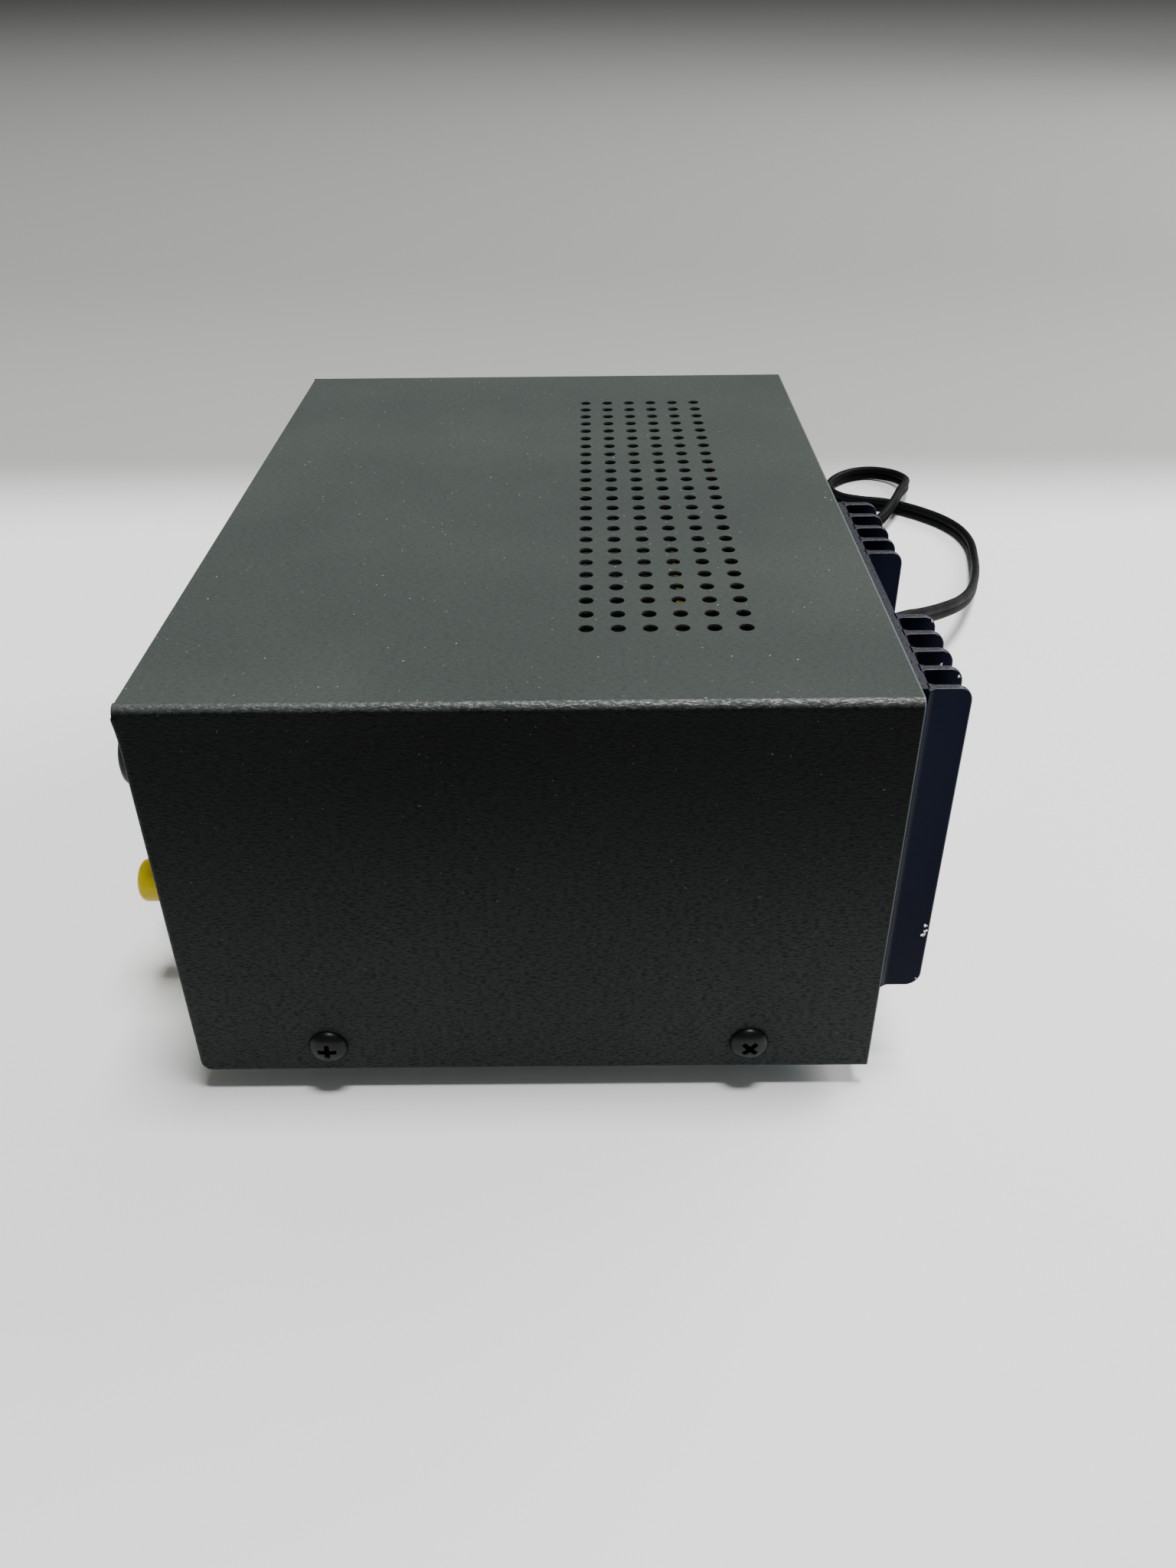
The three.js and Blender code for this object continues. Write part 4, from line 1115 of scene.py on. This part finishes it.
def make_fin_rule():
    tree, given = new_rule("fin_rows", Count=5, Pitch=0.007, First=0.0, Second=0.0, Fin=None)
    fin = shape_of(tree, given["Fin"])
    rows = []
    for start in ("First", "Second"):
        line = add_node(tree, "GeometryNodeMeshLine", {
            "Count": given["Count"],
            "Start Location": vector(tree, X=given[start]),
            "Offset": vector(tree, X=given["Pitch"]),
        })
        rows.append(copies(tree, line.outputs[0], fin))
    close_rule(tree, gathered(tree, given["Geometry"], *rows), anodised)
    return tree


print("fins", FIN_COUNT, "a row at", FIN_PITCH)


# %% Heat sink
def make_heat_sink():
    outline = [
        (sink_low[0] + 0.3, sink_low[1]), (sink_high[0] - 0.3, sink_low[1]),
        (sink_high[0], sink_low[1] + 0.3), (sink_high[0], sink_face),
        (sink_low[0], sink_face), (sink_low[0], sink_low[1] + 0.3),
    ]
    base = pushed("heat_sink_fins", outline, "z", sink_low[2], sink_high[2], anodised)
    fin = soften(make_fin(), 0.15)
    row = (FIN_COUNT - 1) * FIN_PITCH
    grow(
        base, make_fin_rule(), Count=FIN_COUNT, Pitch=FIN_PITCH * MM, Fin=fin,
        First=(sink_low[0] + FIN_HALF) * MM, Second=(sink_high[0] - FIN_HALF - row) * MM,
    )
    bpy.data.objects.remove(fin)
    return base


dress(soften(make_heat_sink(), 0.18, angle=40), "case", "black_anodised", "heat_sink")


# %% [markdown]
# ## The power transistor
# On the bare middle sits a metal can on a lozenge flange, held by two screws. The flange is four
# arcs joined by straight sides, pushed to its thickness, and the can is turned on top of it.


# %% Transistor
def lozenge(x, z, half, end, waist):
    """Four arcs: two tight ones at the ends and two wide ones at the waist."""
    outline = []
    for middle, radius, about, spread in (
        ((x, z + half - end), end, 90, 56), ((x, z), waist, 180, 28),
        ((x, z - half + end), end, 270, 56), ((x, z), waist, 0, 28),
    ):
        for k in range(7):
            angle = math.radians(about + spread * (k / 3 - 1))
            across, up = radius * math.cos(angle), radius * math.sin(angle)
            outline.append((middle[0] + across, middle[1] + up))
    return outline


def make_transistor():
    x, _, z = middle_of("transistor")
    seat, top = sink_face + 0.3, span("transistor")[1][1]
    flange = pushed("flange", lozenge(x, z, 19.5, 4.5, 12.5), "y", seat, seat + 1.6, nickel)
    rim = [(11.2, seat + 1.0), (11.2, seat + 2.0), (10.5, seat + 2.3), (10.5, top - 1.0)]
    can = turned("can", [*rim, (10.1, top - 0.3), (9.4, top)], "y", (x, z), nickel)
    return joined("power_transistor", [flange, can])


dress(soften(make_transistor(), 0.2), "case", "nickel", "transistor")
sink_x, _, sink_z = middle_of("heat_sink")

# %% [markdown]
# ## Finish: plated steel and light panel paint
# The chassis is zinc-plated sheet, which shows a faint patchy shine. The panel is coated light
# grey. Both are thin skins with little relief, so most of their look is in the uneven gloss.


# %% Plated steel, panel paint and smooth plastics
def brushed(name, colour, other, roughness, metallic):
    """A skin with fine lines along X."""
    material, tree, shader, place = new_finish(name)
    lines = grain(tree, place, 0.25, stretch=(60, 1, 1), detail=2)
    cloud = grain(tree, place, 18, detail=4)
    feed(tree, shader, base_color=blend(tree, ramp(tree, cloud, 0.3, 0.7), colour, other))
    feed(tree, shader, roughness=ramp(tree, lines, 0.25, 0.75, roughness * 0.8, roughness * 1.2))
    relief(tree, shader, lines, 0.008, 0.5)
    shader.inputs["Metallic"].default_value = metallic
    return material


plated_steel = brushed("zinc_plate", "#a4a8ab", "#b6b9ba", 0.38, 1.0)
fascia_paint = moulded("panel_paint", "#c6c8c3", "#cfd0cb", 0.5, size=0.3, depth=0.015, patch=40)
black_plastic = moulded("black_plastic", "#090a0b", "#0f1011", 0.42, shine=0.15)
foot_rubber = moulded("foot_rubber", "#141515", "#1d1e1f", 0.75, size=0.5, depth=0.05)
ink = moulded("panel_ink", "#1b1c1e", "#232426", 0.5, size=0.2, depth=0.004)
white_fill = moulded("white_fill", "#e9e9e4", "#dededa", 0.5, size=0.2, depth=0.004)
dial_paint = moulded("dial_lacquer", "#f0efe9", "#eae9e2", 0.45, size=0.3, depth=0.004)
needle_paint = moulded("needle_lacquer", "#151515", "#1c1c1c", 0.4, size=0.2, depth=0.004)
print("finishes:", plated_steel.name, fascia_paint.name, black_plastic.name)


# %% Plated screws
def low_screw_places():
    """Screws of the heat sink, the transistor, the transformer strap and the board."""
    places = []
    for proud, apart, spin, size in ((0, 30, 20, 0.72), (1.9, 15.1, 33, 0.6)):
        for side in (-1, 1):
            point = (sink_x, sink_face + proud, sink_z + side * apart)
            places.append((point, (0, 1, 0), spin * side, size))
    low, high = span("transformer_bracket")
    middle = middle_of("transformer_bracket")[1]
    for x in (low[0] + 5.5, high[0] - 5.5):
        places.append(((x, middle, low[2] + 1.2), (0, 0, 1), 15, 0.75))
    low, high = span("circuit_board")
    for x in (low[0] + 5, high[0] - 5):
        places += [((x, y, high[2]), (0, 0, 1), 50, 0.6) for y in (low[1] + 5, high[1] - 5)]
    return places


dress(set_screws("plated_screws", low_screw_places(), plated_steel), "case", "plated_steel")

# %% [markdown]
# ## Feet
# Four moulded rubber feet keep the case clear of the table. Each is a cone with a well for its
# screw, so it is turned, with the well as part of the profile.


# %% Feet and their screws
def make_foot(end, side):
    node = f"foot_{end}_{side}"
    x, y, _ = middle_of(node)
    top = span(node)[1][2]
    profile = [(2.9, 2.4), (2.9, 0.5), (3.3, 0), (5.4, 0), (6.1, 0.5), (6.4, 1.2), (7.0, top)]
    foot = turned(f"rubber_{node}", profile, "z", (x, y), foot_rubber, sides=44)
    dress(soften(foot, 0.15), "case", "foot_rubber", node)
    return ((x, y, 2.5), (0, 0, -1), 25, 0.62)


foot_places = [make_foot(end, side) for end in ("front", "rear") for side in ("left", "right")]
dress(set_screws("foot_screws", foot_places, plated_steel), "case", "plated_steel")

# %% [markdown]
# ## Knobs
# Each voltage knob is a smooth black moulding with a shallow dished face and a white line. It
# could be a cylinder with a bevel, but the dish and the edge's two curves are what catch the
# light, so its profile is turned.


# %% Knobs
def make_knob(k):
    node = f"voltage_knob_{k}"
    low, high = span(node)
    x, _, z = middle_of(node)
    tip, foot, radius = low[1], high[1], (high[0] - low[0]) / 2
    profile = [
        (0.4, tip + 0.5), (2.6, tip + 0.45), (4.6, tip + 0.25), (5.4, tip + 0.02), (6.2, tip),
        (radius - 0.75, tip + 0.35), (radius - 0.3, tip + 1.1), (radius - 0.08, tip + 2.2),
        (radius, tip + 3.4), (radius, foot - 0.3), (radius - 0.3, foot), (6.1, foot),
        (6.1, foot - 3.2), (2.8, foot - 3.2), (2.8, tip + 4), (0.4, tip + 4),
    ]
    knob = turned(f"knob_{k}", profile, "y", (x, z), black_plastic, sides=64)
    dress(soften(knob, 0.2, angle=40), f"knob_{k}", "black_plastic", node)
    bar = rounded_outline(x - 0.45, x + 0.45, z + 1.6, z + radius - 0.9, 0.4)
    line = pushed(f"knob_line_{k}", bar, "y", tip - 0.05, tip + 0.7, white_fill)
    dress(soften(line, 0.05), f"knob_{k}", "dial_paint")
    return x, z


knob_places = [make_knob(k) for k in (1, 2)]


# %% [markdown]
# ## Binding posts
# A post is a coloured cap that screws down a plated stud, on a base of the same colour. The caps
# are glossy, so their colour carries a clear coat of reflections over very slight moulding waves.


# %% Glossy plastics
def glossy(name, colour, other):
    material = moulded(name, colour, other, 0.2, size=2.5, depth=0.012, patch=8, shine=0.15)
    shader = next(n for n in material.node_tree.nodes if n.type == "BSDF_PRINCIPLED")
    shader.inputs["Subsurface Weight"].default_value = 0.08
    shader.inputs["Subsurface Radius"].default_value = (0.001, 0.001, 0.001)
    return material


POST_COLOURS = {
    "yellow": ("#c6b100", "#bda800"),
    "red": ("#a81c18", "#9c1814"),
    "black": ("#131415", "#191a1b"),
    "blue": ("#1b4a96", "#18428a"),
    "green": ("#186e34", "#15642f"),
}
post_finishes = [glossy(f"gloss_{name}", *pair) for name, pair in POST_COLOURS.items()]
print("finishes:", ", ".join(m.name for m in post_finishes))


# %% Caps, studs and bases
def make_post(k, colour, finish):
    node = f"post_cap_{k}"
    low, high = span(node)
    x, _, z = middle_of(node)
    tip, foot, radius = low[1], high[1], (high[0] - low[0]) / 2
    profile = [
        (2.3, tip + 0.3), (2.6, tip), (radius - 1.7, tip), (radius - 0.9, tip + 0.18),
        (radius - 0.35, tip + 0.6), (radius - 0.08, tip + 1.2), (radius, tip + 2),
        (radius, foot - 5.2), (radius - 0.5, foot - 4.8), (radius - 0.5, foot - 4.0),
        (radius, foot - 3.6), (radius, foot), (3.3, foot), (3.3, tip + 2.4), (2.3, tip + 2.4),
    ]
    cap = turned(f"cap_{colour}", profile, "y", (x, z), finish, sides=56, loop=True)
    dress(soften(cap, 0.15, angle=40), f"cap_{k}", f"post_{colour}", node)
    low, high = span(f"post_stud_{k}")
    near, far = low[1], high[1]
    stud = [(2.0, near), (3.0, near), (3.0, far - 12), (1.5, far - 12), (1.5, far), (0.3, far)]
    stud += [(0.3, foot + 1), (2.0, foot + 1)]
    post = turned(f"stud_{k}", stud, "y", (x, z), nickel, sides=32, loop=True)
    dress(soften(post, 0.15, angle=40), "case", "nickel", f"post_stud_{k}")
    low, high = span(f"post_base_{k}")
    near, far = low[1], high[1]
    base = [(3.3, near), (4.9, near), (radius, near + 0.5), (radius, near + 3)]
    base += [(4.2, near + 3), (4.2, far), (3.3, far)]
    flange = turned(f"base_{colour}", base, "y", (x, z), finish, sides=48, loop=True)
    dress(soften(flange, 0.15, angle=40), "case", f"post_{colour}", f"post_base_{k}")
    return x, z


post_places = [
    make_post(k, colour, finish)
    for k, (colour, finish) in enumerate(zip(POST_COLOURS, post_finishes), 1)
]

# %% [markdown]
# ## Marks on the panel
# Scales round the knobs, rings round the posts and figures on the meter are ink a few hundredths
# thick. An image could carry them, but thin raised shapes stay sharp at any size. A rule sets
# short bars round an arc, and the figures are text turned into mesh.


# %% Rule for marks round an arc
def make_arc_rule(finish):
    """Copies of one bar, turned about Y through a sweep that starts at an angle."""
    tree, given = new_rule("arc_marks", Count=11, Start=0.0, Sweep=1.0)
    still = {"Count": given["Count"], "Offset": (0, 0, 0)}
    line = add_node(tree, "GeometryNodeMeshLine", still).outputs[0]
    index = add_node(tree, "GeometryNodeInputIndex").outputs[0]
    share = sums(tree, "DIVIDE", index, sums(tree, "SUBTRACT", given["Count"], 1.0))
    angle = sums(tree, "ADD", given["Start"], sums(tree, "MULTIPLY", share, given["Sweep"]))
    bars = copies(tree, line, given["Geometry"], Rotation=vector(tree, Y=angle))
    close_rule(tree, bars, finish)
    return tree


def arc_marks(rule, middle, y, count, start, sweep, reach, length, width, thick=0.06):
    """Bars from a reach outwards, standing on the face at y and looking along -Y."""
    half, tip = width / 2, reach + length
    bar = pushed("bar", [(-half, reach), (half, reach), (half, tip), (-half, tip)], "y", -thick, 0)
    grow(bar, rule, Count=count, Start=math.radians(start), Sweep=math.radians(sweep))
    bar.data.transform(Matrix.Translation(Vector((middle[0], y, middle[1])) * MM))
    return bar


def figure(text, middle, y, size, finish, thick=0.05):
    """A number as flat mesh that faces -Y."""
    curve = bpy.data.curves.new("figure", "FONT")
    curve.body = text
    curve.size = size * MM
    curve.align_x, curve.align_y = "CENTER", "CENTER"
    curve.extrude = thick * MM / 2
    holder = bpy.data.objects.new("figure", curve)
    bpy.context.scene.collection.objects.link(holder)
    graph = bpy.context.evaluated_depsgraph_get()
    mesh = bpy.data.meshes.new_from_object(holder.evaluated_get(graph))
    bpy.data.objects.remove(holder)
    mesh.materials.clear()
    mesh.materials.append(finish)
    upright = Matrix.Rotation(math.pi / 2, 4, "X")
    mesh.transform(Matrix.Translation(Vector((middle[0], y, middle[1])) * MM) @ upright)
    obj = bpy.data.objects.new("figure", mesh)
    bpy.context.scene.collection.objects.link(obj)
    return obj


ink_rule = make_arc_rule(ink)
panel_y = span("fascia")[0][1]
print("panel face at y", panel_y)


# %% Marks on the front panel
def ring_mark(middle, inner, outer):
    face = panel_y - 0.06
    corners = ((inner, panel_y), (inner, face), (outer, face), (outer, panel_y))
    rings = [circle("y", middle, radius, along, 40) for radius, along in corners]
    return loft("ring", rings, ink, loop=True)


def strip_mark(x0, x1, z0, z1):
    outline = rounded_outline(x0, x1, z0, z1, 0.2, 2)
    return pushed("strip", outline, "y", panel_y - 0.06, panel_y, ink)


def panel_marks():
    parts = []
    for middle in knob_places:
        parts.append(arc_marks(ink_rule, middle, panel_y, 11, -150, 300, 9.4, 2.2, 0.5))
        for k in range(6):
            angle = math.radians(-150 + 60 * k)
            place = (middle[0] + 13.6 * math.sin(angle), middle[1] + 13.6 * math.cos(angle))
            parts.append(figure(str(k * 2), place, panel_y, 2.6, ink))
    parts += [ring_mark(middle, 6.3, 6.8) for middle in post_places]
    left, last = post_places[-1][0], post_places[0][0]
    parts += [strip_mark(left, last, 19.6, 20.0), strip_mark(left, last, 39.4, 39.8)]
    lamp_x, _, lamp_z = middle_of("lamp")
    parts.append(ring_mark((lamp_x, lamp_z), 4.4, 4.8))
    return joined("panel_marks", parts)


dress(panel_marks(), "case", "needle_paint")

# %% [markdown]
# ## The meter
# A moving-coil meter has a black case with a clear window over a white dial. The needle pivots low
# and swings a right angle, and the screw under the window sets its zero. The frame is skinned
# between two rounded outlines, so the window's opening is real.

# %% Meter case
case_low, case_high = span("meter_case")
window_low, window_high = span("meter_window")
dial_low, dial_high = span("meter_dial")
meter_x = middle_of("meter_window")[0]
meter_back = panel_y - 0.3
meter_half = 31.0


def make_meter_case():
    outer = rounded_outline(meter_x - meter_half, meter_x + meter_half, 36, 86, 2.4)
    low, high = window_low[2] - 0.3, window_high[2] + 0.3
    inner = rounded_outline(window_low[0] - 0.3, window_high[0] + 0.3, low, high, 0.6)
    face = case_low[1]
    front_frame = framed("frame", outer, inner, "y", face, meter_back - 0.4, black_plastic)
    rear_outline = rounded_outline(meter_x - 30.8, meter_x + 30.8, 36.2, 85.8, 2.2)
    back = pushed("back", rear_outline, "y", dial_high[1] + 0.3, meter_back, black_plastic)
    tube = [(21, meter_back - 1), (21, case_high[1])]
    barrel = turned("barrel", tube, "y", (meter_x, 61), black_plastic, sides=64)
    return joined("meter_shell", [front_frame, back, barrel])


dress(soften(make_meter_case(), 0.5, 3), "case", "black_plastic", "meter_case")


# %% Dial marks
def pivot():
    joint = next(j for j in frame["joints"] if j["name"] == "needle_swing")
    return joint["pos_m"][0] / MM, joint["pos_m"][2] / MM


def dial_marks():
    face = dial_low[1]
    middle = pivot()
    parts = [
        arc_marks(ink_rule, middle, face, 31, -45, 90, 26.5, 1.6, 0.22, 0.04),
        arc_marks(ink_rule, middle, face, 7, -45, 90, 26.5, 3.2, 0.4, 0.04),
        arc_marks(ink_rule, middle, face, 91, -45, 90, 26.2, 0.28, 0.48, 0.04),
    ]
    for k in range(4):
        angle = math.radians(-45 + 30 * k)
        place = (middle[0] + 32.4 * math.sin(angle), middle[1] + 32.4 * math.cos(angle))
        if place[1] < window_high[2] - 2:
            parts.append(figure(str(k * 5), place, face, 3.4, ink, 0.04))
    return joined("dial_marks", parts)


dress(dial_marks(), "case", "needle_paint")


# %% Needle and zero screw
def make_needle():
    x, z = pivot()
    back = dial_low[1] - 0.3
    boss = [(2.2, back - 0.1), (2.2, back - 1.6), (1.6, back - 2.0)]
    hub = turned("hub", boss, "y", (x, z), needle_paint, sides=32)
    tail = [(-0.7, -3.0), (0.7, -3.0), (0.5, 2), (0.16, 28.9), (-0.16, 28.9), (-0.5, 2)]
    c, s = math.cos(math.radians(45)), math.sin(math.radians(45))
    outline = [(x + a * c - b * s, z + a * s + b * c) for a, b in tail]
    pointer = pushed("pointer", outline, "y", back - 1.3, back - 0.9, needle_paint)
    return joined("needle", [hub, pointer])


def make_zero_screw():
    low, high = span("meter_zero_screw")
    x, _, z = middle_of("meter_zero_screw")
    profile = [(2.1, low[1] + 0.02), (2.5, low[1] + 0.4), (2.5, high[1])]
    body = turned("zero_adjuster", profile, "y", (x, z), black_plastic, sides=36)
    cut = rounded_outline(x - 2.0, x + 2.0, z - 0.4, z + 0.4, 0.15, 2)
    slot = pushed("slot", cut, "y", low[1] - 1, low[1] + 0.9)
    return soften(carve(body, slot), 0.06)


dress(soften(make_needle(), 0.05), "needle", "needle_paint", "meter_needle")
dress(make_zero_screw(), "zero_screw", "black_plastic", "meter_zero_screw")

# %% [markdown]
# ## Switch and pilot lamp
# The rocker is a curved key in a bezel, and the lamp is a red lens in a rim. The rocker's outline
# is drawn in its side view with arcs round its pivot, so it turns inside its pocket.


# %% Switch and lamp
def make_switch_frame():
    low, high = span("switch_frame")
    rocker_low, rocker_high = span("power_rocker")
    seat = panel_y - 0.3
    outer = rounded_outline(low[0], high[0], low[2], high[2], 1.4)
    half = (rocker_high[0] - rocker_low[0]) / 2 + 0.3
    x, _, z = middle_of("switch_frame")
    inner = rounded_outline(x - half, x + half, z - 7.6, z + 7.6, 0.5)
    bezel = framed("bezel", outer, inner, "y", low[1], seat, black_plastic)
    wall = rounded_outline(x - 5.4, x + 5.4, z - 8.4, z + 8.4, 0.5)
    sleeve = framed("sleeve", wall, inner, "y", low[1] + 0.5, low[1] + 7.4, black_plastic)
    body = pushed("body", wall, "y", low[1] + 7.3, high[1], black_plastic)
    return joined("switch_bezel", [bezel, sleeve, body])


def make_rocker():
    joint = next(j for j in frame["joints"] if j["name"] == "power_switch")
    y, z = joint["pos_m"][1] / MM, joint["pos_m"][2] / MM
    low, high = span("power_rocker")
    reach, tilt, quarter = 7.3, math.radians(8), math.pi / 2
    upper = np.linspace(quarter - 0.15, quarter + 0.45, 8)
    lower = np.linspace(-quarter - 0.45, -quarter + 0.15, 8)
    side = [(3.2, 0.0)]
    side += [(reach * math.cos(a), reach * math.sin(a)) for a in upper]
    side += [(-2.9, 5.0), (-2.45, 2.4), (-2.25, 0.0), (-2.45, -2.4), (-2.9, -5.0)]
    side += [(reach * math.cos(a), reach * math.sin(a)) for a in lower]
    c, s = math.cos(tilt), math.sin(tilt)
    outline = [(y + a * c - b * s, z + a * s + b * c) for a, b in side]
    return pushed("rocker", outline, "x", low[0], high[0], black_plastic)


def make_lamp():
    low, high = span("lamp")
    x, _, z = middle_of("lamp")
    seat = panel_y - 0.3
    dome = [(0.3, 0), (1.0, 0.1), (1.7, 0.5), (2.2, 1.1), (2.5, 2.0)]
    lens = [(radius, low[1] + depth) for radius, depth in dome]
    rim = [(2.5, seat - 0.8), (3.4, seat - 0.7), (3.4, seat), (2.5, seat), (2.5, high[1])]
    return turned("pilot_lens", [*lens, *rim], "y", (x, z), lamp_red, sides=40)


lamp_red = glossy("red_lens", "#b3261a", "#a52016")
dress(soften(make_switch_frame(), 0.3), "case", "black_plastic", "switch_frame")
dress(soften(make_rocker(), 0.35, 3), "rocker", "black_plastic", "power_rocker")
dress(soften(make_lamp(), 0.1, angle=50), "case", "lamp_red", "lamp")


# %% [markdown]
# ## Fuse holder
# The fuse sits in a black tube that goes through the rear plate, and its cap draws out with it.
# Both are turned, and the cap has a screwdriver slot.


# %% Fuse holder and cap
def make_fuse():
    x, _, z = middle_of("fuse_holder")
    low, high = span("fuse_holder")
    near, far = low[1], high[1]
    outside = [(6.0, near), (6.0, far - 2), (7.5, far - 2), (7.5, far - 0.5), (7.0, far)]
    bore = [(4.3, far), (4.3, near + 2), (0.3, near + 2), (0.3, near)]
    body = turned("fuse_body", [*outside, *bore], "y", (x, z), black_plastic, sides=48, loop=True)
    dress(soften(body, 0.15, angle=40), "case", "black_plastic", "fuse_holder")
    low, high = span("fuse_cap")
    near, tip = low[1], high[1]
    cap = [(4.0, near), (4.0, tip - 8), (5.9, tip - 8), (6.0, tip - 7.4)]
    cap += [(5.6, tip - 1.4), (5.0, tip - 0.4), (4.0, tip)]
    knob = turned("fuse_knob", cap, "y", (x, z), black_plastic, sides=48)
    cut = rounded_outline(x - 4.2, x + 4.2, z - 0.6, z + 0.6, 0.2, 2)
    slot = pushed("slot", cut, "y", tip - 1.5, tip + 1)
    dress(soften(carve(knob, slot), 0.12, angle=40), "fuse_carrier", "black_plastic", "fuse_cap")


make_fuse()


# %% [markdown]
# ## Finishes of the solids that stay
# The chassis, the panel, the window and the parts inside the case already have their real shape,
# so each keeps its solid and only takes a finish. Inside are laminations, a taped winding, a
# green board and sleeved capacitors.


# %% Laminations, tape and board
def laminated(name):
    """Steel sheets stacked along Y, half a millimetre each."""
    material, tree, shader, place = new_finish(name)
    along = add_node(tree, "ShaderNodeSeparateXYZ", {0: place}).outputs[1]
    wave = sums(tree, "SINE", sums(tree, "MULTIPLY", along, 2 * math.pi / (0.5 * MM)), 0.0)
    cloud = ramp(tree, grain(tree, place, 9, detail=3), 0.3, 0.7)
    feed(tree, shader, base_color=blend(tree, cloud, "#4c4e50", "#67696b"))
    relief(tree, shader, wave, 0.05, 0.7)
    shader.inputs["Metallic"].default_value = 0.7
    shader.inputs["Roughness"].default_value = 0.45
    return material


def clear(name):
    material, tree, shader, place = new_finish(name)
    feed(tree, shader, roughness=ramp(tree, grain(tree, place, 20, detail=3), 0.3, 0.8, 0.02, 0.08))
    shader.inputs["Base Color"].default_value = linear("#f4f8f8")
    shader.inputs["Transmission Weight"].default_value = 1.0
    shader.inputs["IOR"].default_value = 1.49
    return material


laminations = laminated("laminations")
winding_tape = moulded("winding_tape", "#c2a03a", "#b18f30", 0.4, size=1.2, depth=0.05)
board_green = moulded("board_green", "#1f4d2b", "#2a5d36", 0.35, size=0.8, depth=0.03)
sleeve_blue = moulded("sleeve_blue", "#22386a", "#2a4278", 0.3, size=0.5, depth=0.01)
clear_window = clear("clear_window")
print("finishes:", laminations.name, winding_tape.name, clear_window.name)

# %% Dress the solids
FINISHES = {
    plated_steel: ["chassis", "transformer_bracket", "pot_1", "pot_2"],
    fascia_paint: ["fascia"],
    nickel: ["pot_shaft_1", "pot_shaft_2", "pot_nut_1", "pot_nut_2"],
    dial_paint: ["meter_dial"],
    clear_window: ["meter_window"],
    laminations: ["transformer_core"],
    winding_tape: ["transformer_winding"],
    board_green: ["circuit_board"],
    sleeve_blue: ["capacitor_1", "capacitor_2"],
    black_plastic: ["bridge_rectifier"],
}
for finish, names in FINISHES.items():
    for name in names:
        mesh = nodes[name].data
        mesh.materials.clear()
        mesh.materials.append(finish)
print(sum(len(names) for names in FINISHES.values()), "solids dressed")

# %% [markdown]
# ## Box corners
# The dressed model has to keep the frame's size. A box is read as its two corners, rounded.

# %% Clear the screw and read a box's corners
bpy.data.objects.remove(screw)


def corners(box):
    return [[round(float(v), 6) for v in corner] for corner in box]
